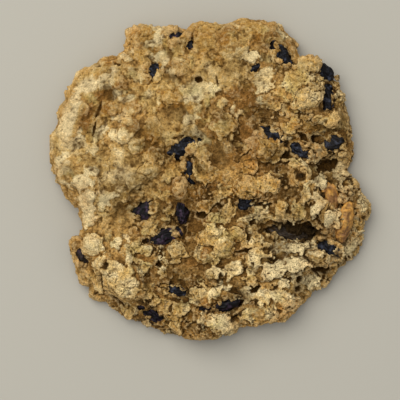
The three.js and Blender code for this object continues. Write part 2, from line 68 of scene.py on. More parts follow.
# Broad plates: middle x and y, length, width, turn in degrees, and tone from brown (0) to pale (1).
BROAD_PLATES = [
    (30.9, -0.6, 4.8, 4.5, 0, 1.0), (29.6, -7.5, 7.4, 3.8, 80, 0.95), (26.5, -4.8, 6.8, 3.2, 85, 0.6),
    (24.4, -9.6, 6.0, 5.0, 80, 0.5), (20.0, -9.9, 6.7, 4.5, 80, 0.5), (14.6, -10.1, 5.6, 5.3, 0, 0.55),
    (33.8, -12.2, 7.0, 5.6, 85, 0.9), (22.8, -19.6, 10.0, 5.0, 0, 0.95),
    (29.6, -20.2, 6.0, 4.2, -10, 0.85), (23.6, -23.5, 8.4, 3.6, 5, 0.9),
    (39.3, -19.1, 5.6, 4.8, 70, 0.75), (42.4, -4.6, 8.0, 3.0, 85, 0.6), (29.8, 7.4, 5.8, 5.4, 0, 0.4),
    (31.4, -15.2, 6.0, 4.2, -10, 0.1), (23.3, 4.6, 5.6, 2.8, -20, 0.5), (15.2, -1.7, 6.4, 4.3, 20, 0.45),
    (16.9, 7.4, 7.3, 6.6, 0, 0.5), (11.0, 3.6, 5.6, 5.0, 0, 0.25), (22.6, 14.6, 5.0, 4.8, 0, 0.3),
    (17.4, 20.4, 3.6, 3.6, 0, 0.35), (27.2, 22.3, 8.1, 5.3, 10, 0.85), (32.6, 16.6, 5.3, 3.4, -20, 0.6),
    (23.6, 27.6, 7.8, 6.6, 30, 0.5), (28.9, 27.0, 5.0, 4.5, 0, 0.6), (27.4, 32.4, 4.5, 3.4, 0, 0.5),
    (-34.1, -8.2, 10.6, 5.0, 88, 0.95), (-29.0, -4.8, 5.0, 4.8, 0, 0.75),
    (-29.9, -11.0, 5.9, 3.4, 85, 0.55), (-35.2, -1.2, 6.0, 4.0, 10, 0.85),
    (-33.0, -18.6, 6.2, 5.9, 0, 0.9), (-31.1, -23.3, 3.4, 3.0, 70, 0.85),
    (-32.6, -28.0, 7.5, 3.2, -55, 0.7), (-21.8, -23.0, 4.2, 2.4, 5, 0.9),
    (-16.9, -13.6, 5.0, 4.8, 0, 0.45), (-26.5, -18.5, 3.6, 2.6, 80, 0.85),
    (-21.5, -19.3, 4.8, 4.6, 80, 0.5), (-17.3, -20.6, 4.4, 3.4, 20, 0.8),
    (-25.4, -28.6, 11.6, 9.0, -48, 0.5), (-18.7, -26.0, 4.6, 3.6, 10, 0.45),
    (-18.0, -31.0, 4.8, 4.0, 60, 0.55), (-16.2, -33.8, 3.8, 3.4, 80, 0.4),
    (-28.8, 26.5, 4.8, 3.4, 30, 1.0), (-20.9, 29.0, 5.0, 4.0, 20, 0.7), (-23.4, 22.3, 3.0, 2.5, 0, 0.85),
    (-25.7, 12.0, 6.2, 4.3, 20, 0.8), (-25.4, 6.7, 5.0, 4.5, 0, 0.6), (-40.8, 5.8, 3.6, 3.2, 80, 0.85),
    (-33.0, 2.2, 5.6, 3.4, 15, 0.8), (-17.6, 1.8, 4.5, 3.8, 10, 0.8), (-9.6, 34.6, 5.3, 4.2, 0, 0.45),
    (-13.6, 33.6, 4.8, 4.6, 20, 0.8), (-1.6, 38.0, 6.4, 5.0, 0, 0.4), (5.4, 38.6, 5.0, 3.9, 0, 0.35),
    (9.6, 39.4, 4.8, 3.4, 85, 0.5), (8.5, 34.4, 8.4, 4.2, 0, 0.8), (14.9, 27.4, 7.0, 4.8, 80, 0.75),
    (12.4, 42.2, 7.2, 3.2, -8, 0.4), (-1.6, 42.4, 7.3, 2.8, 0, 0.5), (3.4, 20.4, 5.0, 3.6, 20, 0.5),
    (4.0, 13.9, 6.7, 5.2, 15, 0.55), (9.6, -2.9, 5.6, 5.4, 0, 0.4), (-11.1, 1.6, 5.0, 4.0, 80, 0.75),
    (-8.0, 3.6, 4.6, 2.2, 75, 0.6), (-3.0, 2.7, 8.0, 3.2, -65, 0.7), (-1.4, 6.6, 5.0, 4.0, 20, 0.55),
    (0.2, 1.5, 4.4, 3.0, 80, 0.6), (-15.6, -4.4, 3.4, 3.0, 0, 0.6), (-12.2, -5.2, 3.2, 2.8, 0, 0.7),
    (-15.4, -8.2, 3.4, 2.6, 40, 0.5), (-11.8, -9.2, 3.4, 2.8, 0, 0.55), (-13.6, -11.8, 3.6, 2.2, 0, 0.45),
    (-1.6, -7.3, 5.4, 4.0, 35, 0.5), (2.0, -4.3, 4.0, 2.6, 75, 0.9), (4.6, -3.1, 4.6, 3.0, 10, 0.7),
    (4.6, -9.3, 6.8, 4.0, 80, 0.55), (1.0, -10.6, 4.0, 3.4, 0, 0.7), (9.9, -11.0, 5.4, 3.2, 10, 0.65),
    (0.0, -16.0, 9.6, 6.4, 5, 0.55), (6.5, -15.2, 5.0, 4.2, 0, 0.45), (12.6, -13.6, 4.4, 2.8, 0, 0.35),
    (11.6, -18.0, 8.6, 4.6, -10, 0.35), (4.3, -19.9, 5.3, 5.0, 60, 0.1), (-3.0, -20.4, 3.4, 2.3, 80, 0.9),
    (0.6, -22.7, 4.8, 4.2, 0, 0.5), (1.2, -26.6, 5.2, 4.0, 0, 0.9), (5.1, -28.9, 4.0, 2.6, 75, 0.7),
    (7.1, -24.7, 4.6, 4.4, 0, 0.75), (12.7, -21.6, 8.4, 2.8, 5, 0.45), (11.6, -25.0, 4.4, 3.4, 80, 0.8),
    (17.2, -25.6, 7.6, 5.0, 25, 0.95), (11.0, -28.6, 4.0, 3.0, 0, 0.2), (20.2, -29.2, 3.2, 2.2, 10, 1.0),
    (1.6, -32.0, 7.6, 3.0, 24, 0.85), (9.9, -32.6, 5.6, 5.0, 0, 0.75), (9.6, -38.0, 6.0, 3.0, 25, 0.5),
    (14.6, -33.1, 5.0, 5.0, 0, 0.5), (18.3, -32.2, 5.0, 4.0, 30, 0.6), (21.9, -34.0, 5.0, 4.4, 0, 0.5),
    (16.9, -37.2, 5.0, 3.8, 20, 0.4), (21.4, -37.4, 5.4, 3.2, 30, 0.35),
    (28.6, -29.4, 4.2, 4.0, 60, 0.65), (3.4, -41.0, 8.0, 5.4, 5, 0.8), (-4.2, -32.2, 4.6, 4.6, 0, 0.85),
    (-9.7, -20.4, 5.4, 5.0, 70, 0.5), (-17.2, -33.2, 5.0, 3.0, -60, 0.8),
    (-12.6, -36.0, 4.6, 3.0, -75, 0.6), (-8.6, -36.0, 4.2, 4.0, 0, 0.7),
    (-10.3, -40.7, 5.2, 4.0, -30, 0.75), (-22.8, -37.2, 5.0, 3.8, -35, 0.9),
    (-13.4, -26.2, 4.0, 3.4, 0, 0.75),
]

# Stretches where the dough is bare and smooth: middle x and y, length, width, turn in degrees and tone.
BARE_DOUGH = [
    (-39.3, 17.6, 13.0, 4.6, 72, 1.1), (-33.0, 26.2, 11.0, 4.0, 32, 1.05),
    (-34.6, 17.4, 10.0, 3.8, 62, -0.1), (-29.4, 24.0, 6.0, 2.6, 20, -0.1),
    (-22.0, 2.4, 10.0, 7.4, 60, 0.6), (8.8, 22.0, 7.0, 6.6, 0, 0.0), (10.3, 13.8, 7.0, 6.4, 0, 0.3),
    (4.6, 7.0, 6.0, 8.4, 0, 0.48), (5.4, 2.6, 7.0, 4.4, -30, 0.5), (-24.4, -11.4, 8.0, 6.6, 80, 0.3),
    (-4.4, -12.9, 7.6, 5.0, 60, 0.15), (-1.6, -0.6, 4.0, 3.6, 0, 0.2), (12.0, 10.6, 5.0, 3.6, 20, 0.05),
    (17.2, 3.6, 5.0, 2.6, 20, 0.0), (2.4, 29.2, 12.0, 6.4, 0, 0.7), (36.6, 15.4, 9.6, 5.4, 78, 0.5),
    (-6.4, -25.6, 7.4, 5.6, 80, 0.25), (10.6, -28.6, 5.0, 4.4, 0, 0.2), (-12.0, 17.0, 9.0, 6.0, 30, 0.55),
    (-32.0, -33.0, 16.0, 2.6, -50, 0.3),
]

# Places where the dough has turned amber: middle x and y, length, width and turn in degrees.
AMBER_SPOTS = [
    (31.6, -15.2, 7.4, 4.8, -10), (36.6, -5.6, 7.0, 8.0, 0), (38.0, -16.0, 5.0, 7.0, 0),
    (39.8, 9.6, 3.6, 3.2, 0), (40.6, -9.0, 3.0, 6.0, 0), (29.9, 7.4, 5.8, 5.2, 0),
    (-21.5, 41.2, 3.4, 3.4, 0), (22.4, 37.6, 4.0, 3.6, 0), (11.3, 37.6, 2.2, 2.2, 0),
    (14.0, -5.0, 5.0, 4.0, 0), (8.0, 5.5, 7.0, 6.0, 0), (20.6, -37.4, 9.0, 4.4, 38),
    (32.2, -26.0, 5.0, 3.6, 50),
]

# Where the top is paler, or below nought browner: middle x and y, radius and amount.
TOP_TONE_SHIFTS = [
    (0, 0, 15, -0.18), (-32, 0, 14, 0.33), (27, -28, 14, 0.42), (36, 0, 12, 0.25), (28, 30, 12, 0.14),
    (-30, 28, 14, 0.06), (8.8, 13.0, 5, -0.25), (-19.0, 15.0, 5, -0.12),
]

# Holes and caves: middle x and y, length, width and turn in degrees, and depth.
HOLES = [
    (-31.6, 31.6, 2.2, 0.8, -10, 1.6), (-26.4, 32.2, 1.8, 0.8, -20, 1.6),
    (-31.4, 18.8, 4.4, 0.7, 70, 1.2), (-32.5, 13.8, 4.0, 0.7, 78, 1.2), (10.6, -14.2, 5.0, 1.6, 85, 1.6),
    (23.9, -14.9, 12.6, 5.0, -8, 3.0), (33.0, 3.6, 5.0, 2.6, 20, 3.0), (29.8, 10.9, 4.0, 2.0, -10, 2.2),
    (25.2, -28.4, 1.8, 1.7, 0, 3.0), (25.1, -31.0, 2.0, 1.8, 0, 2.0), (-3.3, 27.7, 1.8, 1.5, 0, 2.4),
    (-29.2, -24.4, 2.6, 1.4, 30, 2.6), (-29.9, -27.6, 5.6, 0.8, 96, 2.0),
    (-27.4, -32.6, 7.4, 0.9, -47, 2.0), (-14.5, -24.0, 1.6, 1.2, 0, 2.0),
    (-4.4, -12.9, 7.6, 5.2, 60, 1.0), (-2.6, -10.2, 2.8, 2.2, 0, 2.6), (-8.0, -14.2, 3.6, 2.6, 80, 2.8),
    (-17.6, -17.4, 3.0, 1.2, 10, 2.4), (13.6, -7.2, 6.6, 0.7, 4, 1.9), (2.6, -7.3, 2.2, 1.6, 30, 2.0),
    (11.6, -12.2, 1.8, 1.3, 60, 1.8), (10.0, -20.0, 5.6, 0.8, 12, 1.4), (21.2, 6.4, 2.4, 1.9, 0, 2.4),
    (25.2, 0.8, 2.0, 2.4, 80, 2.2), (7.8, -34.6, 2.8, 1.5, 30, 1.8), (6.6, -39.2, 2.0, 2.8, 0, 2.6),
    (12.4, -31.0, 3.0, 1.4, 30, 2.0), (30.6, -25.6, 5.0, 1.6, 10, 1.8), (1.9, 27.0, 3.4, 0.6, 104, 0.9),
    (-8.9, 11.6, 3.0, 0.8, 16, 0.9), (26.2, 11.4, 4.6, 1.4, -34, 1.8), (21.2, 9.9, 5.0, 1.6, -28, 2.4),
]

# Where each raisin shows: middle x and y, length, width and turn in degrees. Crumbs cover its edges.
RAISIN_SHOWS = [
    ("raisin_01", -8.3, 8.7, 8.4, 2.4, 27),
    ("raisin_01", -3.9, 10.5, 4.4, 1.0, 12),
    ("raisin_01", -9.3, 5.0, 3.0, 1.5, -60),
    ("raisin_02", -6.2, 2.9, 3.8, 1.7, -85),
    ("raisin_02", -5.9, -0.2, 4.0, 1.7, -50),
    ("raisin_02", -4.0, -1.6, 2.6, 1.0, 5),
    ("raisin_03", -19.2, -9.0, 5.0, 4.2, 60),
    ("raisin_04", -7.8, -11.2, 7.4, 2.2, 88),
    ("raisin_05", -12.4, -16.0, 8.8, 3.0, 18),
    ("raisin_06", 17.8, 12.0, 8.4, 2.4, -32),
    ("raisin_07", 24.4, 8.2, 8.0, 2.4, -30),
    ("raisin_08", 34.5, 9.6, 4.4, 3.0, 15),
    ("raisin_09", 32.3, 29.8, 5.4, 4.4, -30),
    ("raisin_10", 32.8, 22.8, 7.0, 1.7, 88),
    ("raisin_11", 20.5, 34.7, 5.8, 2.6, -64),
    ("raisin_11", 17.5, 37.3, 3.0, 1.3, -60),
    ("raisin_12", 12.4, 30.9, 2.8, 1.8, 60),
    ("raisin_13", -16.1, 30.2, 3.6, 2.4, 50),
    ("raisin_14", -9.6, 40.0, 4.4, 1.4, 4),
    ("raisin_14", -5.9, 37.4, 3.0, 2.4, 70),
    ("raisin_15", 9.2, -7.3, 3.4, 2.6, -12),
    ("raisin_16", 23.0, -14.9, 13.6, 5.6, -10),
    ("raisin_17", 32.6, -19.6, 5.0, 2.8, -28),
    ("raisin_18", -9.7, -31.6, 5.0, 1.7, -22),
    ("raisin_19", -15.6, -38.2, 5.0, 2.0, -36),
    ("raisin_19", -18.8, -35.4, 3.6, 1.6, -50),
    ("raisin_20", 3.4, -36.0, 8.0, 3.0, 10),
    ("raisin_20", -2.2, -36.4, 2.4, 1.8, 20),
    ("raisin_21", -36.2, -21.6, 4.6, 1.4, -62),
    ("golden_raisin_01", 33.3, -5.2, 7.8, 5.4, -80),
    ("golden_raisin_02", 38.2, -12.2, 13.4, 5.4, 78),
]

# Raisins that lie open in a cave, without crumbs round them.
OPEN_RAISINS = ("raisin_16",)

# Flakes that lie over raisins: middle x and y, length, width and turn in degrees.
LIDS = [
    (-9.0, 37.6, 5.4, 4.4, 20), (2.0, -33.9, 4.4, 1.8, 20), (35.2, -2.2, 3.6, 2.6, 10),
    (30.9, -0.9, 4.4, 3.8, 20), (37.6, -3.8, 5.0, 2.8, -75), (35.4, -11.8, 4.4, 3.0, 80),
    (39.6, -15.8, 3.4, 2.2, 65),
]


# ---------------------------------------------------------------- meshes

MERGE_DISTANCE = 0.002 * MM


def between(limits, rng):
    return rng.uniform(*limits)


def piece_from(name, bm):
    mesh = bpy.data.meshes.new(name)
    bm.to_mesh(mesh)
    bm.free()
    piece = bpy.data.objects.new(name, mesh)
    bpy.context.scene.collection.objects.link(piece)
    return piece


def settle(piece):
    """Applies the modifiers of a piece to its mesh."""
    graph = bpy.context.evaluated_depsgraph_get()
    baked = bpy.data.meshes.new_from_object(piece.evaluated_get(graph))
    piece.modifiers.clear()
    spare = piece.data
    piece.data = baked
    bpy.data.meshes.remove(spare)


def voxel_skin(piece, voxel):
    remesh = piece.modifiers.new("skin", "REMESH")
    remesh.mode = "VOXEL"
    remesh.voxel_size = voxel
    settle(piece)


def smooth(piece, rounds, factor=0.5):
    smoothing = piece.modifiers.new("smooth", "SMOOTH")
    smoothing.factor = factor
    smoothing.iterations = rounds
    settle(piece)


def thin_out(piece, faces):
    piece.data.calc_loop_triangles()
    count = len(piece.data.loop_triangles)
    if count > faces:
        thinning = piece.modifiers.new("thin", "DECIMATE")
        thinning.ratio = faces / count
        thinning.use_collapse_triangulate = True
        settle(piece)


def tree_of(piece):
    return bvhtree.BVHTree.FromObject(piece, bpy.context.evaluated_depsgraph_get())


def merged_frame_mesh(node):
    """A bmesh copy of a node of the frame, with its loose triangles merged."""
    bm = bmesh.new()
    bm.from_mesh(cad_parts[node].data)
    bmesh.ops.remove_doubles(bm, verts=bm.verts, dist=MERGE_DISTANCE)
    return bm


def points_of(mesh):
    points = np.empty(len(mesh.vertices) * 3)
    mesh.vertices.foreach_get("co", points)
    return points.reshape(-1, 3)


def normals_of(mesh):
    normals = np.empty(len(mesh.vertices) * 3)
    mesh.vertex_normals.foreach_get("vector", normals)
    return normals.reshape(-1, 3)


def place_points(mesh, points):
    mesh.vertices.foreach_set("co", points.ravel())
    mesh.update()


def edges_of(mesh):
    edges = np.empty(len(mesh.edges) * 2, dtype=np.int64)
    mesh.edges.foreach_get("vertices", edges)
    return edges.reshape(-1, 2)


def averaged(values, edges, rounds):
    """Values of the vertices, blended with their neighbours' a number of times."""
    count = len(values)
    shares = np.bincount(edges.ravel(), minlength=count).astype(float)
    columns = values.reshape(count, -1).astype(float)
    for _ in range(rounds):
        blended = np.empty_like(columns)
        for k in range(columns.shape[1]):
            sums = np.bincount(edges[:, 0], columns[edges[:, 1], k], count)
            sums += np.bincount(edges[:, 1], columns[edges[:, 0], k], count)
            blended[:, k] = 0.5 * columns[:, k] + 0.5 * sums / shares
        columns = blended
    return columns.reshape(values.shape)


def store(mesh, name, values):
    attribute = mesh.attributes.new(name, "FLOAT", "POINT")
    attribute.data.foreach_set("value", np.asarray(values, dtype=np.float32))


# ---------------------------------------------------------------- noise and masks

# Smooth noise comes from a table of random heights that a lattice of unit cells looks up.
HEIGHT_COUNT = 4096
KEY_MASK = HEIGHT_COUNT - 1
HEIGHTS = np.random.default_rng(5).uniform(-1, 1, HEIGHT_COUNT)
LATTICE_STRIDES = (73856093, 19349663, 83492791)
LATTICE_TURN = np.array(Euler((0.7, 0.4, 0.9)).to_matrix())
LATTICE_SHIFT = 40
LUMPY_SHARE = 0.75
SEED_STRIDE = 131
SEED_JITTER = 0.47
PICK_STRIDES = (7, 1237)
FAR = 9.0


def uneven(points):
    """Smooth random heights, -1 to 1, over points whose lumps are about one unit wide."""
    shape = points.shape[:-1]
    flat = points.reshape(-1, 3)
    cell = np.floor(flat).astype(np.int64)
    share = flat - cell
    share = share * share * (3 - 2 * share)
    total = np.zeros(len(flat))
    for corner in itertools.product((0, 1), repeat=3):
        key = np.zeros(len(flat), dtype=np.int64)
        weight = np.ones(len(flat))
        for axis in range(3):
            key ^= (cell[:, axis] + corner[axis]) * LATTICE_STRIDES[axis]
            weight *= share[:, axis] if corner[axis] else 1 - share[:, axis]
        total += weight * HEIGHTS[key & KEY_MASK]
    return total.reshape(shape)


def lumpy(points):
    """Smooth random heights without the grain of one lattice."""
    return LUMPY_SHARE * (uneven(points) + uneven(points @ LATTICE_TURN + LATTICE_SHIFT))


def noise(points, height, width, shift):
    """Uneven heights: how high, how wide the lumps are in the points' unit, and a shift to other lumps."""
    return height * uneven(points / width + shift)


def ridges(points, height, width, shift):
    """Rounded lumps with creases between them, with the same measures as noise has."""
    return height * np.abs(lumpy(points / width + shift))


def picked(key, turn=0):
    """A random number from -1 to 1 for each key."""
    return HEIGHTS[(key * PICK_STRIDES[0] + turn * PICK_STRIDES[1]) & KEY_MASK]


def scattered_cells(points, size, seed):
    """The cell that each point is in, and the next one: how far their border lies, the ways to the point
    from the seeds of both, and the number of the first. The seeds are scattered, one to each cube."""
    flat = points / size
    base = np.floor(flat).astype(np.int64)
    first = np.full(len(flat), FAR)
    second = np.full(len(flat), FAR)
    way_first = np.zeros((len(flat), 3))
    way_second = np.zeros((len(flat), 3))
    number = np.zeros(len(flat), dtype=np.int64)
    for offset in itertools.product((-1, 0, 1), repeat=3):
        cube = base + offset
        key = np.full(len(flat), seed * SEED_STRIDE, dtype=np.int64)
        for axis in range(3):
            key ^= cube[:, axis] * LATTICE_STRIDES[axis]
        key &= KEY_MASK
        ways = [flat[:, k] - cube[:, k] - 0.5 - SEED_JITTER * picked(key, k + 1) for k in range(3)]
        way = np.stack(ways, axis=-1)
        distance = np.sqrt((way**2).sum(axis=1))
        closer = distance < first
        next_closer = (distance < second) & ~closer
        way_second[closer] = way_first[closer]
        way_second[next_closer] = way[next_closer]
        way_first[closer] = way[closer]
        second = np.where(closer, first, np.minimum(second, distance))
        first = np.where(closer, distance, first)
        number = np.where(closer, key, number)
    return (second - first) * size / 2, way_first * size, way_second * size, number


def fade(values, edge, width):
    """1 well below the edge and 0 above it, over a width between."""
    return np.clip((edge - values) / width, 0, 1)


def rise(values, start, width):
    """0 below the start and 1 from a width above it."""
    return np.clip((values - start) / width, 0, 1)


def closeness(distance, width):
    """1 where the distance is nought, and 0 from a width away."""
    return np.clip(1 - distance / width, 0, 1)


def some(share, amount):
    """1 where the share is 0, and less by an amount where it is 1."""
    return 1 - amount * share


def in_patch(points, patch):
    """How far points, in metres, lie from the middle of an oval patch, where 1 is its edge."""
    middle_x, middle_y, length, width, turn = patch
    angle = math.radians(turn)
    dx = points[:, 0] / MM - middle_x
    dy = points[:, 1] / MM - middle_y
    along = (dx * math.cos(angle) + dy * math.sin(angle)) / (length / 2)
    across = (dy * math.cos(angle) - dx * math.sin(angle)) / (width / 2)
    return np.hypot(along, across)


# ---------------------------------------------------------------- bare dough, tone shifts and cragginess

BARE_WANDER = (0.25, 3.2 * MM, 0)
BARE_EDGE = (1.25, 0.5)
BARE_SPREAD = 0.9
COMMON_TONE = 0.22
COMMON_WEIGHT = 0.05

# How craggy the crust is: gentle at the upper left, deep at the lower right, and more so down its sides.
LEAST_CRAGGY = 0.3
CRAGGY_RISE = 0.73
CRAGGY_MIDDLE = 0.56
CRAGGY_WAY = 72 * MM
CRAGGY_SIDES = 0.6
GENTLE_SPAN = 0.5


def bare_share(points):
    """1 where the dough is bare, 0 where clumps cover it."""
    share = np.zeros(len(points))
    wander = noise(points, *BARE_WANDER)
    for *oval, _ in BARE_DOUGH:
        share = np.maximum(share, fade(in_patch(points, oval) + wander, *BARE_EDGE))
    return share


def top_tone_shift(points):
    """How much paler (or, below nought, browner) each part of the top is."""
    shift = np.zeros(len(points))
    for x, y, radius, amount in TOP_TONE_SHIFTS:
        away = np.hypot(points[:, 0] / MM - x, points[:, 1] / MM - y)
        shift += amount * np.exp(-((away / radius) ** 2))
    return shift


def bare_tone(points):
    """The tone of the bare dough, blended between the patches round a point."""
    total = np.full(len(points), COMMON_TONE * COMMON_WEIGHT)
    weights = np.full(len(points), COMMON_WEIGHT)
    for *oval, tone in BARE_DOUGH:
        weight = np.exp(-((in_patch(points, oval) / BARE_SPREAD) ** 2))
        total += weight * tone
        weights += weight
    return total / weights + top_tone_shift(points)


def cragginess(points):
    share = np.clip(CRAGGY_MIDDLE + (points[:, 0] - points[:, 1]) / CRAGGY_WAY, 0, 1)
    return LEAST_CRAGGY + CRAGGY_RISE * share * share * (3 - 2 * share)


def gentleness(craggy):
    return closeness(craggy - LEAST_CRAGGY, GENTLE_SPAN)


# ---------------------------------------------------------------- crumbs and shells over the raisins

# A crumb: how far it tips, the lobes of its outline (depth and how many), and its blunt, uneven top.
CRUMB_FACES = 3
CRUMB_TIP = (-math.radians(20), math.radians(20))
CRUMB_SEEDS = (0, 90)
CRUMB_LOBES = ((0.5, 1.3), (0.3, 4))
CRUMB_BLUNTNESS = 0.35
CRUMB_TOP_HEIGHT = 0.2
CRUMB_TOP_LUMPS = [2.2, 2.2, 0.8]

# The crumbs round a window: their size, fewer and smaller round a small window, and where each one lies.
EDGE_CRUMB = (1.5 * MM, 3.1 * MM)
EDGE_CRUMB_LENGTH = (1.0, 1.5)
EDGE_CRUMB_HEIGHT = (0.45, 0.7)
EDGE_CRUMB_OUT = (0.25, 0.6)
EDGE_CRUMB_LIFT = (0.2, 0.7)
EDGE_CRUMB_WANDER = (-0.4, 0.4)
EDGE_CRUMBS_PER_MM = 0.6
FEWEST_EDGE_CRUMBS = 4
FULL_SIZE_WINDOW = 3.2
SMALLEST_SHARE = 0.45
LID_LIFT = 0.3 * MM
LID_THICKNESS = 1.6 * MM
ABOVE_ALL = 0.05
DOWN = Vector((0, 0, -1))

# The shell of dough on each raisin, and its ragged windows.
SHELL_THICKNESS = 1.4 * MM
SHELL_OFFSET = 0.1
SHELL_ROUNDS = 6
SHELL_STEEPEST = 0.1
WINDOW_ROOM = 1.0
WINDOW_RAGGEDNESS = ((0.4, 1.5, 19), (0.3, 0.8, 37))


class Heap:
    """Crumbs, gathered with their places and then made as one mesh."""

    def __init__(self):
        self.spots = []
        self.frames = []
        self.sizes = []
        self.seeds = []

    def add(self, spot, turn, size, rng):
        tipped = Euler((between(CRUMB_TIP, rng), between(CRUMB_TIP, rng), 0)).to_matrix()
        self.frames.append(np.array(tipped @ Matrix.Rotation(turn, 3, "Z")))
        self.spots.append(np.array(spot))
        self.sizes.append(size)
        self.seeds.append([between(CRUMB_SEEDS, rng) for _ in range(3)])

    def piece(self, name):
        """One mesh of all the crumbs, each a ball that is bent into a lump of unit size."""
        ball = bmesh.new()
        bmesh.ops.create_icosphere(ball, subdivisions=CRUMB_FACES, radius=1)
        piece = piece_from(name, ball)
        unit = points_of(piece.data)
        row = piece.modifiers.new("row", "ARRAY")
        row.count = len(self.spots)
        row.use_relative_offset = False
        settle(piece)
        balls = np.repeat(unit[None], len(self.spots), axis=0)
        lumps = crumb_shape(balls, np.array(self.seeds)[:, None, :]) * np.array(self.sizes)[:, None, :] / 2
        turned = np.einsum("kij,knj->kni", np.array(self.frames), lumps)
        place_points(piece.data, (turned + np.array(self.spots)[:, None, :]).reshape(-1, 3))
        return piece


def crumb_shape(balls, seeds):
    """A thick ragged lump with a blunt top and a lobed outline."""
    across = np.hypot(balls[..., 0], balls[..., 1])
    around = balls * [1, 1, 0] / np.maximum(across, 0.001)[..., None]
    rim = sum(depth * uneven(around * lobes + seeds) for depth, lobes in CRUMB_LOBES)
    flat = balls * (1 + rim)[..., None]
    height = np.sign(balls[..., 2]) * np.abs(balls[..., 2]) ** CRUMB_BLUNTNESS
    height = height + CRUMB_TOP_HEIGHT * uneven(balls * CRUMB_TOP_LUMPS + seeds)
    return np.stack([flat[..., 0], flat[..., 1], height], axis=-1)


def ring_window(heap, skin, window, rng):
    """Lays crumbs on a raisin's skin, all round a window."""
    x, y, length, width, turn = window
    around = math.radians(turn)
    near = min(max(width / FULL_SIZE_WINDOW, SMALLEST_SHARE), 1)
    steps = max(FEWEST_EDGE_CRUMBS, round((length + width) * EDGE_CRUMBS_PER_MM))
    for step in range(steps):
        angle = 2 * math.pi * (step + between(EDGE_CRUMB_WANDER, rng)) / steps
        size = between(EDGE_CRUMB, rng) * near
        out = size * between(EDGE_CRUMB_OUT, rng)
        across = (length / 2 * MM + out, width / 2 * MM + out)
        reach = Vector((math.cos(angle) * across[0], math.sin(angle) * across[1], 0))
        reach.rotate(Euler((0, 0, around)))
        place = Vector((x * MM, y * MM, ABOVE_ALL)) + reach
        on_skin = skin.ray_cast(place, DOWN)[0]
        if on_skin is None:
            continue
        place.z = on_skin.z + between(EDGE_CRUMB_LIFT, rng) * MM
        crumb = (size * between(EDGE_CRUMB_LENGTH, rng), size, size * between(EDGE_CRUMB_HEIGHT, rng))
        heap.add(place, angle + around + math.pi / 2, crumb, rng)


def cover_raisins(dough, raisins, rng):
    """Crumbs round the windows that the raisins show through, and the flakes that lie over them."""
    heap = Heap()
    for node, *window in RAISIN_SHOWS:
        if node not in OPEN_RAISINS:
            ring_window(heap, tree_of(raisins[node]), window, rng)
    skins = [tree_of(piece) for piece in (dough, *raisins.values())]
    for x, y, length, width, turn in LIDS:
        place = Vector((x * MM, y * MM, ABOVE_ALL))
        hits = [skin.ray_cast(place, DOWN)[0] for skin in skins]
        place.z = max(hit.z for hit in hits if hit is not None) + LID_LIFT
        heap.add(place, math.radians(turn), (length * MM, width * MM, LID_THICKNESS), rng)
    return heap.piece("crumbs")


def raisin_shell(node, raisin):
    """A shell of dough over a raisin, open at the windows that it shows through."""
    bm = bmesh.new()
    bm.from_mesh(raisin.data)
    points = points_of(raisin.data)
    facing = averaged(normals_of(raisin.data)[:, 2], edges_of(raisin.data), SHELL_ROUNDS)
    nearest = np.full(len(points), FAR)
    for name, x, y, length, width, turn in RAISIN_SHOWS:
        if name == node:
            wider = (x, y, length + WINDOW_ROOM, width + WINDOW_ROOM, turn)
            nearest = np.minimum(nearest, in_patch(points, wider))
    nearest += sum(noise(points / MM, *row) for row in WINDOW_RAGGEDNESS)
    bm.verts.ensure_lookup_table()
    opened = [bm.verts[i] for i in np.flatnonzero((nearest < 1) | (facing < SHELL_STEEPEST))]
    bmesh.ops.delete(bm, geom=opened, context="VERTS")
    piece = piece_from(node + "_cover", bm)
    thicken = piece.modifiers.new("thicken", "SOLIDIFY")
    thicken.thickness = SHELL_THICKNESS
    thicken.offset = SHELL_OFFSET
    settle(piece)
    return piece


# ---------------------------------------------------------------- plates and pieces of the crust

# Lengths here are in mm, and rows for noise are height, width and shift. What a plate or piece picks:
RISE, LEAN_X, LEAN_Y, TONE, COVERING = 3, 4, 5, 6, 7

# Plates: their width, how far broad ones reach and keep others off, their ragged edges and wandering.
PLATE_WIDTH = 4.4
PLATE_REACH = 1.06
PLATE_SEED = 1
PLATE_ROOM = 0.9
SEARCH_SHARE = 0.75
SEARCH_ROOM = 1
FACING_UP = 0.5
TORN_EDGE = (1.7, 29)
FINE_TORN_EDGE = (0.6, 0.75, 67)
WANDER = (0.55, 2.9, (5, 23, 47))
FINE_WANDER = (0.42, 0.9, (7, 29, 53))

# How far plates stand up or down and lean for each mm, and the depth and width of the cracks round them.
PLATE_RISE = 0.4
BROAD_PLATE_RISE = (0.3, 1.0)
PLATE_LEAN = 0.15
COMMON_LEAN = (0.25, -0.25)
LEAST_LEAN = 0.01
CRACK_DEPTH, CRACK_WIDTH = 1.15, 0.33
OPEN_UPHILL = 1.8
SHUT_DOWNHILL = 0.8
OPEN_CRACKS = (1.3, 3.4, 3)

# The same for the pieces of a plate, which stand up less in bare dough and split less on broad plates.
PIECE_WIDTH = 1.65
PIECE_SEED = 2
PIECE_RISE = 0.15
PIECE_LEAN = 0.16
SPLIT_DEPTH, SPLIT_WIDTH = 0.3, 0.24
OPEN_SPLITS = (0.1, 1.3, 2.3, 61)
LEDGE_SHARES = (0.5, 0.6, 0.8)
SPLIT_SHARES = (0.35, 0.8)

# The lumps, pillows and swells under it all: on gentle crust, on craggy crust and down the sides.
PLATE_CRAGGINESS = (-0.2, 1.15)
PIECE_CRAGGINESS = (0.15, 0.75)
SOFT_LUMPS = 0.42
SOFT_LUMP_ROWS = ((1, 2.3, 13), (0.7, 1.2, 59))
PILLOWS = 0.38
PILLOW_EDGE = 0.55
PILLOW_SPOTS = (0.55, 1.3, 3.1, 73)
RIM_LUMPS = 2.2
RIM_LUMP_ROWS = ((1, 4.6, 71), (0.4, 1.7, 33))
RIM_LEVEL = 0.3
SWELL = (6.4, 37)
SWELL_HEIGHT = 1.1
SOFT_SWELL = (4.2, 17)
SOFT_SWELL_HEIGHT = 0.45
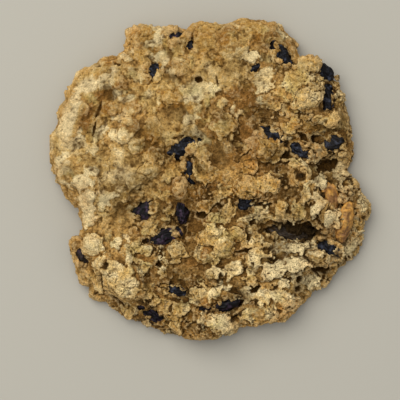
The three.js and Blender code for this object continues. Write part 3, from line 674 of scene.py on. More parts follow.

# Holes and caves: a wide one is a cave, and a wide, deep one is painted in shadow all through.
CAVE_WIDTH = 2.4
CAVE_DROP = 2.9
SHALLOW_DARKNESS = 0.6
RAGGED = ((0.4, 1.3, 0), (0.3, 0.6, 0))
HOLE_EDGE = (1.2, 0.4)
SHADOW_EDGE = (1.15, 0.35)
CAVE_EDGE = (1.2, 0.3)
CAVE_FLATNESS = 0.8
HOLE_FLOOR = ((0.3, 0.9, 83), (0.4, 1.9, 11))

# Round the raisins: broken shade, and a dip where a window is narrow.
EDGE_RAGGEDNESS = 1.6
SHADE_EDGE = (1.6, 0.5)
SHADE_SPOTS = (0.5, 2.2, 2.2, 91)
SHADE_DARKNESS = 0.5
NARROW_WINDOW = 2.9
DIP_EDGE = (1.7, 0.6)
DIP_FLATNESS = 0.7
DIP_DEPTH = 0.45

# Colour marks: how low a point counts as, how dark cracks and holes are, and the tones of the plates.
# Low points are painted darker as shade and high ones paler as light.
LOW_LEVEL = 0.25
LOW_SPAN = 2.2
GENTLE_LOW = 0.25
# Cracks and holes are painted dark as shade.
DARK_GAP = 0.8
GENTLE_GAP = 0.75
DARK_PIT = (0.4, 1.1)
PLATE_TONES = (0.42, 0.5)
BROAD_PLATE_TONES = (0.1, 0.8)
LOOSE_TONE = 0.4
PIECE_TONES = 0.15
TONE_LIMITS = (-0.2, 1.2)
COVERED_SHARE = (1.2, 3)


def wandering(places, height, width, shifts):
    """Uneven shifts along each axis, to bend what is laid out with straight edges."""
    return height * np.stack([uneven(places / width + shift) for shift in shifts], axis=-1)


def patchy(places, middle, height, width, shift):
    """Shares from 0 to 1 that come and go in patches."""
    return np.clip(middle + noise(places, height, width, shift), 0, 1)


def broad_plates(places, facing_up):
    """The broad plate nearest to each point, the way from its middle, and how far in from its edge."""
    number = np.zeros(len(places), dtype=np.int64)
    inside = np.full(len(places), -FAR)
    way = np.zeros((len(places), 2))
    for k, (x, y, length, width, turn, _) in enumerate(BROAD_PLATES):
        away = np.hypot(places[:, 0] - x, places[:, 1] - y)
        near = np.flatnonzero((away < length * SEARCH_SHARE + SEARCH_ROOM) & facing_up)
        depth = (PLATE_REACH - in_patch(places[near] * MM, (x, y, length, width, turn))) * width / 2
        closer = depth > inside[near]
        chosen = near[closer]
        inside[chosen] = depth[closer]
        number[chosen] = k
        way[chosen] = places[chosen, :2] - (x, y)
    return number, way, inside


def scattered_plates(seeds, facing_up):
    """The scattered plate that each piece of the crust belongs to, by the piece's seed, numbered after the
    broad plates, or -1 in bare dough and close round a broad plate. With it, the way from its middle."""
    _, way, _, number = scattered_cells(seeds, PLATE_WIDTH, PLATE_SEED)
    inside = broad_plates(seeds, facing_up)[2]
    bare = (inside > -PLATE_ROOM) | (bare_share(seeds * MM) > 0.5)
    return np.where(bare, -1, len(BROAD_PLATES) + number), way[:, :2]


def plate_table(rng):
    """The rise, lean and tone of every plate, the broad ones first."""
    broad = len(BROAD_PLATES)
    keys = np.arange(broad + HEIGHT_COUNT)
    rises = PLATE_RISE * picked(keys, RISE)
    rises[:broad] = [between(BROAD_PLATE_RISE, rng) for _ in BROAD_PLATES]
    leans = PLATE_LEAN * (np.stack([picked(keys, LEAN_X), picked(keys, LEAN_Y)], axis=-1) + COMMON_LEAN)
    tones = PLATE_TONES[0] + PLATE_TONES[1] * picked(keys, TONE)
    tones[:broad] = [BROAD_PLATE_TONES[0] + BROAD_PLATE_TONES[1] * tone for *_, tone in BROAD_PLATES]
    return rises, leans, tones


def lumps_and_swells(places, craggy, gentle, slope_up, border):
    """The rounded forms of the crust, besides its plates."""
    height = SOFT_LUMPS * gentle * sum(ridges(places, *row) for row in SOFT_LUMP_ROWS)
    pillow = np.sqrt(rise(border, 0, PILLOW_EDGE)) * patchy(places, *PILLOW_SPOTS)
    height += PILLOWS * gentle * pillow
    height += RIM_LUMPS * (1 - slope_up) * (sum(ridges(places, *row) for row in RIM_LUMP_ROWS) - RIM_LEVEL)
    height += SWELL_HEIGHT * craggy * lumpy(places / SWELL[0] + SWELL[1])
    height += SOFT_SWELL_HEIGHT * gentle * lumpy(places / SOFT_SWELL[0] + SOFT_SWELL[1])
    return height


def holes_and_caves(points, ragged, facing_up):
    """How deep each point is in a hole, how much painted shade that gives it, and the shares of cave and of
    painted shadow.
    """
    hole, pit, cave, shadow = np.zeros((4, len(points)))
    for *oval, drop in HOLES:
        reach = in_patch(points, oval) + ragged
        depth = drop * fade(reach, *HOLE_EDGE) * facing_up
        wide, deep = oval[3] > CAVE_WIDTH, drop >= CAVE_DROP
        hole = np.maximum(hole, depth)
        pit = np.maximum(pit, depth * (SHALLOW_DARKNESS if wide and not deep else 1))
        if wide:
            shadow = np.maximum(shadow, fade(reach, *SHADOW_EDGE) * deep)
            cave = np.maximum(cave, fade(reach, *CAVE_EDGE) * facing_up)
    return hole, pit, cave, shadow


def raisin_edges(points, ragged, facing_up):
    """The shade round the raisins, and the dips at their narrow windows."""
    shade, dip = np.zeros((2, len(points)))
    for node, *oval in RAISIN_SHOWS:
        if node.startswith("raisin"):
            reach = in_patch(points, oval) + EDGE_RAGGEDNESS * ragged
            shade = np.maximum(shade, fade(reach, *SHADE_EDGE) * facing_up)
            if oval[3] < NARROW_WINDOW:
                dip = np.maximum(dip, fade(reach, *DIP_EDGE))
    return shade * patchy(points / MM, *SHADE_SPOTS), dip


def plate_relief(points, slope_up, rng):
    """The height of the crust over the dough in metres, and the marks that colour it, painted shade and
    light among them.
    """
    places = points / MM
    facing_up = slope_up > FACING_UP
    craggy = np.maximum(cragginess(points), CRAGGY_SIDES - slope_up)
    gentle = gentleness(craggy)

    # Which plate and piece each point is on. A home of -1 is bare dough.
    bent = places + (wandering(places, *WANDER) + wandering(places, *FINE_WANDER))
    border, way, way_next, piece = scattered_cells(bent, PIECE_WIDTH, PIECE_SEED)
    home, way_scattered = scattered_plates(bent - way, facing_up)
    home_next, _ = scattered_plates(bent - way_next, facing_up)
    between_plates = (home != home_next) & ((home >= 0) | (home_next >= 0))
    nearest, way_broad, inside = broad_plates(bent, facing_up)
    inside += lumpy(places / TORN_EDGE[0] + TORN_EDGE[1]) + noise(places, *FINE_TORN_EDGE)
    broad = inside > 0
    beside = inside > -CRACK_WIDTH
    home = np.where(broad, nearest, home)
    owner = np.where(beside, nearest, home)
    on_plate = home >= 0
    across = np.where(beside[:, None], way_broad, way_scattered + way[:, :2])

    # Plates and pieces, at their own heights.
    rises, leans, tones = plate_table(rng)
    uphill = (across * leans[owner]).sum(axis=1)
    level = (rises[home] + uphill) * on_plate
    ledge = PIECE_RISE * picked(piece)
    ledge += PIECE_LEAN * (way[:, 0] * picked(piece, LEAN_X) + way[:, 1] * picked(piece, LEAN_Y))
    ledge *= np.where(on_plate, np.where(broad, LEDGE_SHARES[1], LEDGE_SHARES[2]), LEDGE_SHARES[0])

    # Cracks: they open at the raised side of a plate, and split its pieces a little.
    steepness = np.maximum(np.linalg.norm(leans, axis=1)[owner], LEAST_LEAN)
    raised = np.clip(0.5 + uphill / steepness / PLATE_WIDTH, 0, 1)
    openness = np.where(owner >= 0, OPEN_UPHILL * raised - SHUT_DOWNHILL, 0.0) + noise(places, *OPEN_CRACKS)
    cracked = closeness(border, CRACK_WIDTH) * between_plates * (inside < -PLATE_ROOM / 2)
    cracked = np.maximum(cracked, closeness(np.abs(inside), CRACK_WIDTH))
    gap = cracked * CRACK_DEPTH * np.clip(openness, 0, 1)
    split = closeness(border, SPLIT_WIDTH) * SPLIT_DEPTH
    split *= patchy(places, *OPEN_SPLITS) * on_plate * np.where(broad, *SPLIT_SHARES)
    gap = np.maximum(gap, split) * craggy

    height = level * (PLATE_CRAGGINESS[0] + PLATE_CRAGGINESS[1] * craggy)
    height += ledge * (PIECE_CRAGGINESS[0] + PIECE_CRAGGINESS[1] * craggy) - gap
    height += lumps_and_swells(places, craggy, gentle, slope_up, border)

    # Holes, caves and the edges of the raisins.
    ragged = sum(noise(places, *row) for row in RAGGED)
    hole, pit, cave, shadow = holes_and_caves(points, ragged, facing_up)
    height *= some(cave, CAVE_FLATNESS)
    # How low each point lies, for painted shade in low parts and painted light on high ones.
    low = np.clip(0.5 - (height - LOW_LEVEL) / LOW_SPAN, 0, 1)
    low = 0.5 + (low - 0.5) * (1 + GENTLE_LOW * gentle)
    height -= hole * (1 + sum(noise(places, *row) for row in HOLE_FLOOR))
    shade, dip = raisin_edges(points, ragged, facing_up)
    height = height * some(dip, DIP_FLATNESS) - DIP_DEPTH * dip

    covered = np.clip(COVERED_SHARE[0] + COVERED_SHARE[1] * picked(home, COVERING), 0, 1)
    tone = np.where(on_plate, tones[home], LOOSE_TONE) + PIECE_TONES * picked(piece, TONE)
    tone += top_tone_shift(points)
    # Painted shade in cracks, holes and round the raisins, and painted shadow in deep caves; the cracks
    # also hold browner dough.
    dark = rise(gap, 0, DARK_GAP) * some(gentle, GENTLE_GAP) + rise(pit, *DARK_PIT) + SHADE_DARKNESS * shade
    marks = {
        "crack_and_pit_shade": np.clip(np.maximum(dark, shadow), 0, 1),
        "plate": np.where(broad, 1.0, covered) * on_plate,
        "tone": np.clip(tone, *TONE_LIMITS),
        "low": low,
        "gentle": gentle,
    }
    return height * MM, marks


# ---------------------------------------------------------------- the crust

DOUGH_VOXEL = 0.8 * MM
DOUGH_SMOOTHING = 5
SKIN_VOXEL = 0.27 * MM
SKIN_FACES = 196_000

# How the skin is softened where it is gentle, grows at the rim and runs out at the underside.
NORMAL_ROUNDS = 5
FLAT_ROUNDS = 40
FLATTENING = 0.7
UPWARD_GAIN = 1.6
SOFT_ROUNDS = 12
SOFTENING = 0.2
RIM_GROWTH = 0.3 * MM
UNDERCUT = -0.5
RELIEF_START = (0.5 * MM, 1.4 * MM)

# Grains and pits, and bare dough's low swells: noise rows in mm.
GRAIN = (0.2, 1.4, 9)
GRAIN_CREASES = (0.34, 0.85, 31)
GRAIN_LEVEL = 0.12
FINE_GRAIN = (0.13, 0.45, 57)
PIT_NOISE = (1, 0.8, 77)
PIT_DEPTH = 1.3
PIT_START = 0.45
GENTLE_GRAIN = 0.15
GENTLE_PITS = 0.6
BARE_SMOOTHNESS = 0.35
BARE_SWELLS = (0.22, 2.6, 11)
GRAIN_START = (0.3 * MM, 1.2 * MM)

# Painted shade in hollows and crevices and painted light on small crests: rounds of blending, and the depth
# that counts in full.
DEPTH_MARKS = (("crevice_and_crest_shading", 8, 0.3 * MM), ("hollow_shading", 70, 0.9 * MM))
DEPTH_NORMAL_ROUNDS = 4
STEEP_ROUNDS = 40
RIM_STEEPNESS = (0.8, 0.5)
RIM_RADIUS = (32, 6)
INNER_RIM = 0.25
AMBER_WANDER = (0.5, 1.6 * MM, 0)
AMBER_EDGE = (1.2, 0.5)


def build_dough():
    dough = piece_from("dough_form", merged_frame_mesh("cookie"))
    voxel_skin(dough, DOUGH_VOXEL)
    smooth(dough, DOUGH_SMOOTHING)
    return dough


def join_up(name, parts):
    """One piece of all the parts, which are removed."""
    joined = bmesh.new()
    for part in parts:
        joined.from_mesh(part.data)
        bpy.data.objects.remove(part)
    return piece_from(name, joined)


def break_up(crust, rng):
    """Breaks the skin into its plates, and stores what colours them."""
    mesh = crust.data
    points = points_of(mesh)
    edges = edges_of(mesh)
    normals = averaged(normals_of(mesh), edges, NORMAL_ROUNDS)
    normals /= np.maximum(np.linalg.norm(normals, axis=1), 0.001)[:, None]
    upward = np.clip(normals[:, 2], 0, 1)
    flatness = FLATTENING * gentleness(cragginess(points)) * upward
    points += (averaged(points, edges, FLAT_ROUNDS) - points) * flatness[:, None]
    height, marks = plate_relief(points, np.clip(normals[:, 2] * UPWARD_GAIN, 0, 1), rng)
    softness = (SOFTENING * marks["gentle"])[:, None]
    sharp = np.stack([height, marks["plate"], marks["tone"]], axis=-1)
    softened = sharp + softness * (averaged(sharp, edges, SOFT_ROUNDS) - sharp)
    height, marks["plate"], marks["tone"] = softened.T
    height += RIM_GROWTH * (1 - upward) * (normals[:, 2] > UNDERCUT)
    height *= rise(points[:, 2], *RELIEF_START)
    place_points(mesh, points + normals * height[:, None])
    for name, values in marks.items():
        store(mesh, name, values)


def roughen(crust):
    """Gives the skin its small grains and pits, fewer where the dough is bare."""
    mesh = crust.data
    points = points_of(mesh)
    normals = normals_of(mesh)
    places = points / MM
    grain = noise(places, *GRAIN) - np.abs(noise(places, *GRAIN_CREASES)) + GRAIN_LEVEL
    grain += noise(places, *FINE_GRAIN)
    pits = PIT_DEPTH * rise(noise(places, *PIT_NOISE), PIT_START, 1)
    gentle = gentleness(cragginess(points))
    bare = bare_share(points)
    push = grain * some(gentle, GENTLE_GRAIN) - pits * some(gentle, GENTLE_PITS)
    push *= some(bare, BARE_SMOOTHNESS)
    push += noise(places, *BARE_SWELLS) * bare
    push *= rise(points[:, 2], *GRAIN_START)
    points += normals * (push * MM)[:, None]
    points[:, 2] = np.maximum(points[:, 2], 0)
    place_points(mesh, points)


def colour_marks(crust):
    """Stores what the material reads of the shape: how deep, for painted shade and crest light, how near
    the rim, how bare and how amber.
    """
    mesh = crust.data
    points = points_of(mesh)
    edges = edges_of(mesh)
    normals = normals_of(mesh)
    for name, rounds, full_depth in DEPTH_MARKS:
        rounded = averaged(points, edges, rounds)
        depth = ((rounded - points) * averaged(normals, edges, DEPTH_NORMAL_ROUNDS)).sum(axis=1)
        store(mesh, name, np.clip(0.5 + 0.5 * depth / full_depth, 0, 1))
    steep = averaged(normals[:, 2], edges, STEEP_ROUNDS)
    outward = rise(np.hypot(points[:, 0], points[:, 1]) / MM, *RIM_RADIUS)
    store(mesh, "rim", fade(steep, *RIM_STEEPNESS) * np.maximum(outward, INNER_RIM))
    store(mesh, "bare_tone", bare_tone(points))
    amber = np.zeros(len(points))
    wander = noise(points, *AMBER_WANDER)
    for oval in AMBER_SPOTS:
        amber = np.maximum(amber, fade(in_patch(points, oval) + wander, *AMBER_EDGE))
    store(mesh, "amber", amber)


# ---------------------------------------------------------------- raisins

# Folds: their pitch and depth, and how much they are drawn out along the raisin.
RAISIN_FOLDS = (1.05 * MM, 0.6 * MM, 0.6)
GOLDEN_FOLDS = (1.7 * MM, 0.6 * MM, 0.35)
RAISIN_LEVELS = 3
RAISIN_GROWTH = 1.07
RAISIN_ROOM = 0.2 * MM
SAMPLE_STEP = 7
FOLD_SHIFT = (3.7, 1.3, 0)
FOLD_BEND = (0.8, 2, (3, 19, 41))
FOLD_SHARPNESS = 2.2
FOLD_SHARE = 0.55
FINE_FOLDS = 2.4
FINE_FOLD_SHARE = 0.2
FOLD_LEVEL = 0.35
PALING_ALONG_Y = 0.7

VIOLET_RAISINS = ("raisin_03", "raisin_04", "raisin_05", "raisin_14", "raisin_19", "raisin_20", "raisin_21")

# How much of a raisin is caked with crumbs.
DUSTY_RAISINS = {
    "raisin_16": 1.0,
    "raisin_08": 0.1,
    "raisin_03": 0.05,
    "raisin_21": 0.4,
    "golden_raisin_01": 0.12,
    "golden_raisin_02": 0.12,
}


def build_raisin(node, index):
    """A raisin in the place and shape of its node, plumped up and then shrivelled into folds."""
    piece = piece_from(node + "_skin", merged_frame_mesh(node))
    rounding = piece.modifiers.new("round", "SUBSURF")
    rounding.levels = rounding.render_levels = RAISIN_LEVELS
    settle(piece)
    mesh = piece.data
    points = points_of(mesh)
    low, high = (np.array(corner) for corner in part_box(node))
    middle = points.mean(axis=0)
    points = middle + (points - middle) * RAISIN_GROWTH
    place_points(mesh, points)
    normals = normals_of(mesh)

    # Folds run along the raisin, so the noise is stretched that way.
    places = points - middle
    spread = np.linalg.svd(places[::SAMPLE_STEP, :2], full_matrices=False)[2][0]
    along = np.array([spread[0], spread[1], 0])
    golden = node.startswith("golden")
    pitch, depth, stretch = GOLDEN_FOLDS if golden else RAISIN_FOLDS
    places = (places - np.outer(places @ along, along) * stretch) / pitch + index * np.array(FOLD_SHIFT)
    bend = wandering(places, *FOLD_BEND)
    ridge = 1 - FOLD_SHARPNESS * np.abs(uneven(places + bend))
    crease = FOLD_SHARE * ridge + FINE_FOLD_SHARE * uneven(places * FINE_FOLDS + bend) - FOLD_LEVEL
    points = points + normals * (crease * depth)[:, None]
    # Golden raisins turn from their fold colour towards their crest colour along y.
    if golden:
        crease += PALING_ALONG_Y * (points - middle)[:, 1] / (high - low)[1]
    place_points(mesh, np.clip(points, low - RAISIN_ROOM, high + RAISIN_ROOM))
    store(mesh, "crease", np.clip(0.5 + crease, 0, 1))
    store(mesh, "dust_and_sheen", np.full(len(points), DUSTY_RAISINS.get(node, 0.0)))
    store(mesh, "violet", np.full(len(points), float(node in VIOLET_RAISINS)))
    return piece


# ---------------------------------------------------------------- materials

PALE_OAT = (0.74, 0.575, 0.295)
TAN_OAT = (0.5, 0.315, 0.1)
GOLD_OAT = (0.42, 0.225, 0.05)
BROWN_OAT = (0.33, 0.15, 0.026)
GREEN_OAT = (0.47, 0.375, 0.13)
ORANGE_OAT = (0.52, 0.26, 0.065)
AMBER_DOUGH = (0.47, 0.225, 0.05)
DOUGH_TAN = (0.47, 0.27, 0.078)
DOUGH_BROWN = (0.29, 0.135, 0.03)
# Browns of painted shade: in cracks, hollows and crevices, and in the deepest cracks and caves.
SHADE_BROWN = (0.098, 0.047, 0.01)
SHADOW_BROWN = (0.03, 0.018, 0.007)
EDGE_GOLD = (0.52, 0.285, 0.08)
# The brown of painted shade in small pores.
PORE_SHADE_BROWN = (0.06, 0.028, 0.008)
CREAM_DOUGH = (0.7, 0.53, 0.27)
# Raisin folds are painted darker than their crests, as shade in the folds.
RAISIN_CREST = (0.005, 0.0048, 0.0062)
RAISIN_FOLD = (0.002, 0.001, 0.0008)
# The dark raisins' bloom, which also serves as their painted sheen.
RAISIN_BLOOM_AND_SHEEN = (0.075, 0.085, 0.12)
VIOLET_TINT = (1.2, 0.62, 0.75)
DARK_CRUMB = (0.06, 0.04, 0.022)
# Golden folds are painted darker than their crests, as shade in the folds.
AMBER_CREST = (0.47, 0.21, 0.026)
AMBER_FOLD = (0.16, 0.06, 0.01)
AMBER_BLOOM = (0.6, 0.33, 0.07)
PALE_CRUMB = (0.55, 0.38, 0.18)

# Noises: scale, detail and, where it isn't the usual one, roughness.
BROAD_NOISE = (60, 2)
PATCH_NOISE = (240, 2)
FINE_NOISE = (900, 4, 0.7)
SPECK_NOISE = (2600, 2, 0.6)
GREEN_NOISE = (150, 2)
WARM_NOISE = (110, 2)
RIM_NOISE = (190, 2)
CRACK_NOISE = (320, 2)
SKIN_NOISE = (1500, 3, 0.6)
BLOOM_AND_SHEEN_NOISE = (760, 3, 0.6)
PORE_SCALE = 950.0
HAIR_CRACK_SCALE = 330.0
WARP_SCALE = 700.0
WARP_REACH = (0.9 * MM, 0.9 * MM, 0.9 * MM)
CRUST_ROUGHNESS = 0.8
CRUST_GLOSS = 0.05
CRUST_BUMP = (1.0, 0.65 * MM)
RAISIN_BUMP = (0.8, 0.3 * MM)
RAISIN_BLOOM_AND_SHEEN_SHARE, RAISIN_GLOSS = 0.55, 0.14
GOLDEN_BLOOM_SHARE, GOLDEN_GLOSS = 0.6, 0.3

SKIN_INPUTS = ("Crest", "Fold", "Bloom_and_sheen", "Caked")

# Painted shade on the crust, partly the browner dough of its cracks: mark, where it starts and is full, how
# strong it is then, and its colour.
PAINTED_SHADES = (
    ("crack_and_pit_shade", 0.12, 0.55, 0.92, SHADE_BROWN),
    ("crack_and_pit_shade", 0.5, 0.95, 0.9, SHADOW_BROWN),
    ("hollow_shading", 0.53, 0.9, 0.75, SHADE_BROWN),
    ("crevice_and_crest_shading", 0.54, 0.9, 0.8, SHADE_BROWN),
)


class Nodes:
    """Short calls for building a node tree."""

    def __init__(self, tree):
        self.tree = tree

    def add(self, kind, inputs=None, **settings):
        node = self.tree.nodes.new(kind)
        for key, value in settings.items():
            setattr(node, key, value)
        for key, value in (inputs or {}).items():
            self.feed(node.inputs[key], value)
        return node

    def feed(self, socket, value):
        if isinstance(value, bpy.types.NodeSocket):
            self.tree.links.new(value, socket)
        else:
            socket.default_value = value

    def attribute(self, name):
        return self.add("ShaderNodeAttribute", attribute_name=name).outputs["Fac"]

    def math(self, operation, a, b):
        return self.add("ShaderNodeMath", {0: a, 1: b}, operation=operation).outputs[0]

    def times(self, a, b):
        return self.math("MULTIPLY", a, b)

    def swing(self, value, reach):
        """A value round a half, as a swing round nought."""
        return self.times(self.math("SUBTRACT", value, 0.5), reach)

    def grain(self, coordinates, scale, detail=3.0, roughness=0.55):
        inputs = {"Vector": coordinates, "Scale": scale, "Detail": detail, "Roughness": roughness}
        return self.add("ShaderNodeTexNoise", inputs).outputs["Fac"]

    def mix(self, factor, a, b, blend="MIX"):
        node = self.add("ShaderNodeMix", data_type="RGBA", blend_type=blend)
        self.feed(node.inputs[0], factor)
        for k, value in ((6, a), (7, b)):
            self.feed(node.inputs[k], (*value, 1) if isinstance(value, tuple) else value)
        return node.outputs[2]

    def steps(self, factor, *stops):
        node = self.add("ShaderNodeValToRGB", {"Fac": factor})
        ramp = node.color_ramp
        while len(ramp.elements) < len(stops):
            ramp.elements.new(0.5)
        for element, (position, colour) in zip(ramp.elements, stops):
            element.position = position
            element.color = (*colour, 1) if isinstance(colour, tuple) else (colour, colour, colour, 1)
        return node.outputs["Color"]

    def span(self, value, low, high, to_low=0.0, to_high=1.0):
        inputs = {"Value": value, "From Min": low, "From Max": high, "To Min": to_low, "To Max": to_high}
        return self.add("ShaderNodeMapRange", inputs).outputs[0]


def new_material(name):
    material = bpy.data.materials.new(name)
    material.use_nodes = True
    nodes = Nodes(material.node_tree)
    shader = material.node_tree.nodes["Principled BSDF"]
    place = nodes.add("ShaderNodeTexCoord").outputs["Object"]
    return material, nodes, shader, place


def add_bump(nodes, shader, height, strength, distance):
    bump = nodes.add("ShaderNodeBump", {"Height": height, "Strength": strength, "Distance": distance})
    nodes.feed(shader.inputs["Normal"], bump.outputs[0])


def crust_cells(nodes, place):
    """Small pores and hair cracks, from two nets of warped cells: distances from middles and from edges."""
    inputs = {"Vector": place, "Scale": WARP_SCALE, "Detail": 2.0}
    warp = nodes.add("ShaderNodeTexNoise", inputs).outputs["Color"]
    warp = nodes.add("ShaderNodeVectorMath", {0: warp, 1: WARP_REACH}, operation="MULTIPLY").outputs[0]
    warped = nodes.add("ShaderNodeVectorMath", {0: place, 1: warp}, operation="ADD").outputs[0]
    pores = nodes.add("ShaderNodeTexVoronoi", {"Vector": warped, "Scale": PORE_SCALE})
    inputs = {"Vector": warped, "Scale": HAIR_CRACK_SCALE}
    cracks = nodes.add("ShaderNodeTexVoronoi", inputs, feature="DISTANCE_TO_EDGE")
    return pores.outputs["Distance"], cracks.outputs["Distance"]


def oat_colour(nodes, place, tone):
    """From brown to pale with its tone, with greenish and orange patches."""
    oat = nodes.steps(tone, (0.0, BROWN_OAT), (0.25, GOLD_OAT), (0.6, TAN_OAT), (1.0, PALE_OAT))
    green = nodes.span(nodes.grain(place, *GREEN_NOISE), 0.5, 0.68, 0.0, 0.5)
    green = nodes.times(green, nodes.span(nodes.attribute("tone"), 0.75, 0.95, 1.0, 0.1))
    green = nodes.times(green, nodes.span(nodes.attribute("rim"), 0.0, 0.4, 1.0, 0.2))
    oat = nodes.mix(green, oat, GREEN_OAT)
    warm = nodes.span(nodes.grain(place, *WARM_NOISE), 0.46, 0.32, 0.0, 0.4)
    return nodes.mix(warm, oat, ORANGE_OAT)


def painted_shade_and_light(nodes, colour):
    """The colour with painted shade in its cracks, hollows and crevices, and painted light on its small
    crests.
    """
    for mark, start, full, strength, dark in PAINTED_SHADES:
        colour = nodes.mix(nodes.span(nodes.attribute(mark), start, full, 0.0, strength), colour, dark)
    # Painted highlight on small crests, away from the cracks.
    crest_highlight = nodes.span(nodes.attribute("crevice_and_crest_shading"), 0.44, 0.15, 0.0, 0.28)
    crest_highlight = nodes.times(crest_highlight, nodes.span(nodes.attribute("crack_and_pit_shade"), 0.2, 0.6, 1.0, 0.0))
    return nodes.mix(crest_highlight, colour, PALE_OAT)


def crust_material():
    material, nodes, shader, place = new_material("baked_crust")
    broad = nodes.grain(place, *BROAD_NOISE)
    patch = nodes.grain(place, *PATCH_NOISE)
    fine = nodes.grain(place, *FINE_NOISE)
    speck = nodes.grain(place, *SPECK_NOISE)
    cells, edges = crust_cells(nodes, place)
    plate = nodes.attribute("plate")
    gentle = nodes.attribute("gentle")

    calm = nodes.span(gentle, 0.0, 1.0, 1.0, 0.5)
    tone = nodes.math("ADD", nodes.attribute("tone"), nodes.times(nodes.swing(patch, 0.9), calm))
    tone = nodes.math("ADD", tone, nodes.swing(broad, 1.5))
    bare_tone = nodes.math("ADD", nodes.attribute("bare_tone"), nodes.swing(patch, 1.0))
    dough = nodes.steps(bare_tone, (0.0, DOUGH_BROWN), (0.4, DOUGH_TAN), (0.7, TAN_OAT), (1.0, CREAM_DOUGH))
    colour = nodes.mix(plate, dough, oat_colour(nodes, place, tone))
    amber = nodes.times(nodes.attribute("amber"), nodes.span(fine, 0.35, 0.65, 0.35, 0.85))
    colour = nodes.mix(amber, colour, AMBER_DOUGH)
    # Painted shade where the crust lies low and painted light where it stands high.
    height_shading = nodes.steps(nodes.attribute("low"), (0.1, 1.2), (0.45, 0.95), (0.8, 0.52))
    colour = nodes.mix(1.0, colour, height_shading, "MULTIPLY")
    rim = nodes.span(nodes.attribute("rim"), 0.2, 0.9, 0.0, 0.75)
    rim = nodes.times(rim, nodes.span(nodes.grain(place, *RIM_NOISE), 0.36, 0.62, 0.1, 0.9))
    colour = nodes.mix(rim, colour, EDGE_GOLD)

    # Painted shade in small pores and hair cracks.
    porous = nodes.times(nodes.span(patch, 0.4, 0.56), nodes.span(gentle, 0.0, 1.0, 1.0, 0.15))
    pores = nodes.times(nodes.span(cells, 0.34, 0.2), porous)
    colour = nodes.mix(nodes.times(pores, 0.8), colour, PORE_SHADE_BROWN)
    cracked = nodes.span(nodes.grain(place, *CRACK_NOISE), 0.48, 0.56)
    cracks = nodes.times(nodes.span(edges, 0.05, 0.015), cracked)
    cracks = nodes.times(cracks, nodes.times(plate, nodes.span(gentle, 0.0, 0.5, 0.8, 0.0)))
    colour = nodes.mix(nodes.times(cracks, 0.8), colour, SHADE_BROWN)
    colour = painted_shade_and_light(nodes, colour)
    grains = nodes.steps(fine, (0.32, 0.62), (0.5, 1.05), (0.7, 1.5))
    colour = nodes.mix(nodes.span(gentle, 0.0, 1.0, 1.0, 0.6), colour, grains, "MULTIPLY")
    specks = nodes.steps(speck, (0.36, 0.66), (0.64, 1.3))
    colour = nodes.mix(nodes.span(gentle, 0.0, 1.0, 1.0, 0.7), colour, specks, "MULTIPLY")
    nodes.feed(shader.inputs["Base Color"], colour)
    shader.inputs["Roughness"].default_value = CRUST_ROUGHNESS
    shader.inputs["Specular IOR Level"].default_value = CRUST_GLOSS

    height = nodes.math("ADD", fine, nodes.times(speck, 0.5))
    height = nodes.math("ADD", height, nodes.times(cells, 0.5))
    height = nodes.math("SUBTRACT", height, nodes.times(cracks, 0.8))
    add_bump(nodes, shader, height, *CRUST_BUMP)
    return material


def dried_skin_group():
    """The wrinkled skin of dried fruit, as a node group that both kinds of raisin use."""
    group = bpy.data.node_groups.new("dried_skin", "ShaderNodeTree")
    for name in SKIN_INPUTS:
        group.interface.new_socket(name, in_out="INPUT", socket_type="NodeSocketColor")
    group.interface.new_socket("Bloom_and_sheen_share", in_out="INPUT", socket_type="NodeSocketFloat")
    group.interface.new_socket("Colour", in_out="OUTPUT", socket_type="NodeSocketColor")
    for name in ("Roughness", "Height"):
        group.interface.new_socket(name, in_out="OUTPUT", socket_type="NodeSocketFloat")
    nodes = Nodes(group)
    given = nodes.add("NodeGroupInput").outputs
    place = nodes.add("ShaderNodeTexCoord").outputs["Object"]
    fine = nodes.grain(place, *SKIN_NOISE)
    bloom_and_sheen = nodes.grain(place, *BLOOM_AND_SHEEN_NOISE)
    # Folds painted darker than crests, as shade in the folds.
    colour = nodes.mix(nodes.span(nodes.attribute("crease"), 0.15, 0.75), given["Fold"], given["Crest"])
    # Patches of bloom, on the dark raisins also painted sheen.
    dust_and_sheen = nodes.times(nodes.span(bloom_and_sheen, 0.5, 0.68), given["Bloom_and_sheen_share"])
    violet = nodes.mix(1.0, given["Bloom_and_sheen"], VIOLET_TINT, "MULTIPLY")
    bloom_and_sheen_film = nodes.mix(nodes.attribute("violet"), given["Bloom_and_sheen"], violet)
    colour = nodes.mix(dust_and_sheen, colour, bloom_and_sheen_film)
    caked = nodes.times(nodes.attribute("dust_and_sheen"), nodes.span(fine, 0.35, 0.65, 0.35, 0.9))
    colour = nodes.mix(caked, colour, given["Caked"])
    colour = nodes.mix(1.0, colour, nodes.steps(fine, (0.36, 0.7), (0.64, 1.35)), "MULTIPLY")
    result = nodes.add("NodeGroupOutput")
    nodes.feed(result.inputs["Colour"], colour)
    nodes.feed(result.inputs["Roughness"], nodes.span(fine, 0.3, 0.7, 0.36, 0.66))
    nodes.feed(result.inputs["Height"], fine)
    return group


def raisin_material(name, group, colours, dust_and_sheen, gloss):
    material, nodes, shader, _ = new_material(name)
    skin = nodes.add("ShaderNodeGroup", node_tree=group)
    for key, colour in zip(SKIN_INPUTS, colours):
        nodes.feed(skin.inputs[key], (*colour, 1))
    nodes.feed(skin.inputs["Bloom_and_sheen_share"], dust_and_sheen)
    nodes.feed(shader.inputs["Base Color"], skin.outputs["Colour"])
    nodes.feed(shader.inputs["Roughness"], skin.outputs["Roughness"])
    shader.inputs["Specular IOR Level"].default_value = gloss
    add_bump(nodes, shader, skin.outputs["Height"], *RAISIN_BUMP)
    return material


# ---------------------------------------------------------------- stage

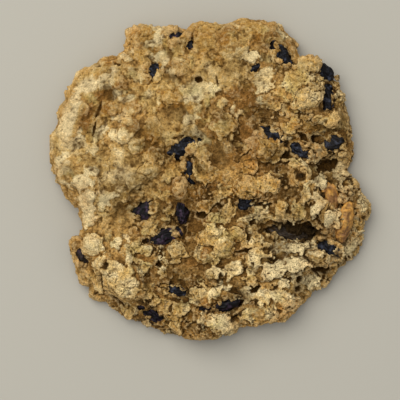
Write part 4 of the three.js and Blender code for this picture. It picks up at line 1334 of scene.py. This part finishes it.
PIXEL = 0.28 * MM
FRAME_PIXELS = 400
VIEW_CENTRE = (-2.96 * MM, -5.98 * MM)
VIEW_HEIGHT = 0.55
SUBJECT_HEIGHT = 8 * MM
SENSOR = 36
NEAREST_SEEN = 0.01
FLOOR_SIZE = 2.4
FLOOR_COLOUR = (0.45, 0.425, 0.36)
FLOOR_ROUGHNESS = 0.9
FLOOR_GLOSS = 0.1
WINDOW_PLACE = (-0.34, 0.4, 0.85)
WINDOW_SIZE = 1.1
WINDOW_POWER = 9.0
WINDOW_COLOUR = (1.0, 0.985, 0.96)
ROOM_COLOUR = (0.95, 0.97, 1.0)
ROOM_STRENGTH = 0.56


def build_stage():
    bpy.ops.mesh.primitive_plane_add(size=FLOOR_SIZE)
    floor = bpy.context.object
    floor.name = "floor"
    material, _, shader, _ = new_material("floor")
    shader.inputs["Base Color"].default_value = (*FLOOR_COLOUR, 1)
    shader.inputs["Roughness"].default_value = FLOOR_ROUGHNESS
    shader.inputs["Specular IOR Level"].default_value = FLOOR_GLOSS
    floor.data.materials.append(material)


def build_camera():
    lens = bpy.data.cameras.new("camera")
    lens.sensor_width = SENSOR
    lens.lens = SENSOR * (VIEW_HEIGHT - SUBJECT_HEIGHT) / (FRAME_PIXELS * PIXEL)
    lens.clip_start = NEAREST_SEEN
    camera = bpy.data.objects.new("camera", lens)
    camera.location = (*VIEW_CENTRE, VIEW_HEIGHT)
    bpy.context.scene.collection.objects.link(camera)
    bpy.context.scene.camera = camera


def build_lights():
    lamp = bpy.data.lights.new("window", "AREA")
    lamp.shape = "DISK"
    lamp.size = WINDOW_SIZE
    lamp.energy = WINDOW_POWER
    lamp.color = WINDOW_COLOUR
    window = bpy.data.objects.new("window", lamp)
    window.location = WINDOW_PLACE
    window.rotation_euler = Vector(WINDOW_PLACE).to_track_quat("Z", "Y").to_euler()
    bpy.context.scene.collection.objects.link(window)
    world = bpy.data.worlds.new("room")
    world.use_nodes = True
    background = world.node_tree.nodes["Background"]
    background.inputs["Color"].default_value = (*ROOM_COLOUR, 1)
    background.inputs["Strength"].default_value = ROOM_STRENGTH
    bpy.context.scene.world = world
    settings = bpy.context.scene.view_settings
    settings.view_transform = "Standard"
    settings.look = "None"


# ---------------------------------------------------------------- the cookie


def finish_piece(piece, material, slot, *nodes):
    piece.data.shade_smooth()
    piece.data.materials.append(material)
    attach(piece, "root")
    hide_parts(*nodes)


rng = random.Random(7)
build_camera()
build_lights()
build_stage()

raisin_nodes = sorted(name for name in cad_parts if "raisin" in name)
raisins = {node: build_raisin(node, index) for index, node in enumerate(raisin_nodes)}

dough = build_dough()
crumbs = cover_raisins(dough, raisins, rng)
shells = [raisin_shell(node, raisin) for node, raisin in raisins.items() if node not in OPEN_RAISINS]
crust = join_up("cookie_crust", (dough, crumbs, *shells))
voxel_skin(crust, SKIN_VOXEL)
break_up(crust, rng)
roughen(crust)
thin_out(crust, SKIN_FACES)
place_points(crust.data, np.clip(points_of(crust.data), *np.array(cad_box)))
colour_marks(crust)
finish_piece(crust, crust_material(), "cookie_dough", "cookie")

skin_group = dried_skin_group()
dark_colours = (RAISIN_CREST, RAISIN_FOLD, RAISIN_BLOOM_AND_SHEEN, DARK_CRUMB)
dark_skin = raisin_material("raisin_skin", skin_group, dark_colours, RAISIN_BLOOM_AND_SHEEN_SHARE, RAISIN_GLOSS)
golden_colours = (AMBER_CREST, AMBER_FOLD, AMBER_BLOOM, PALE_CRUMB)
golden_skin = raisin_material("golden_raisin_skin", skin_group, golden_colours, GOLDEN_BLOOM_SHARE, GOLDEN_GLOSS)
for node, raisin in raisins.items():
    if node.startswith("golden"):
        finish_piece(raisin, golden_skin, "golden_raisin", node)
    else:
        finish_piece(raisin, dark_skin, "raisin", node)
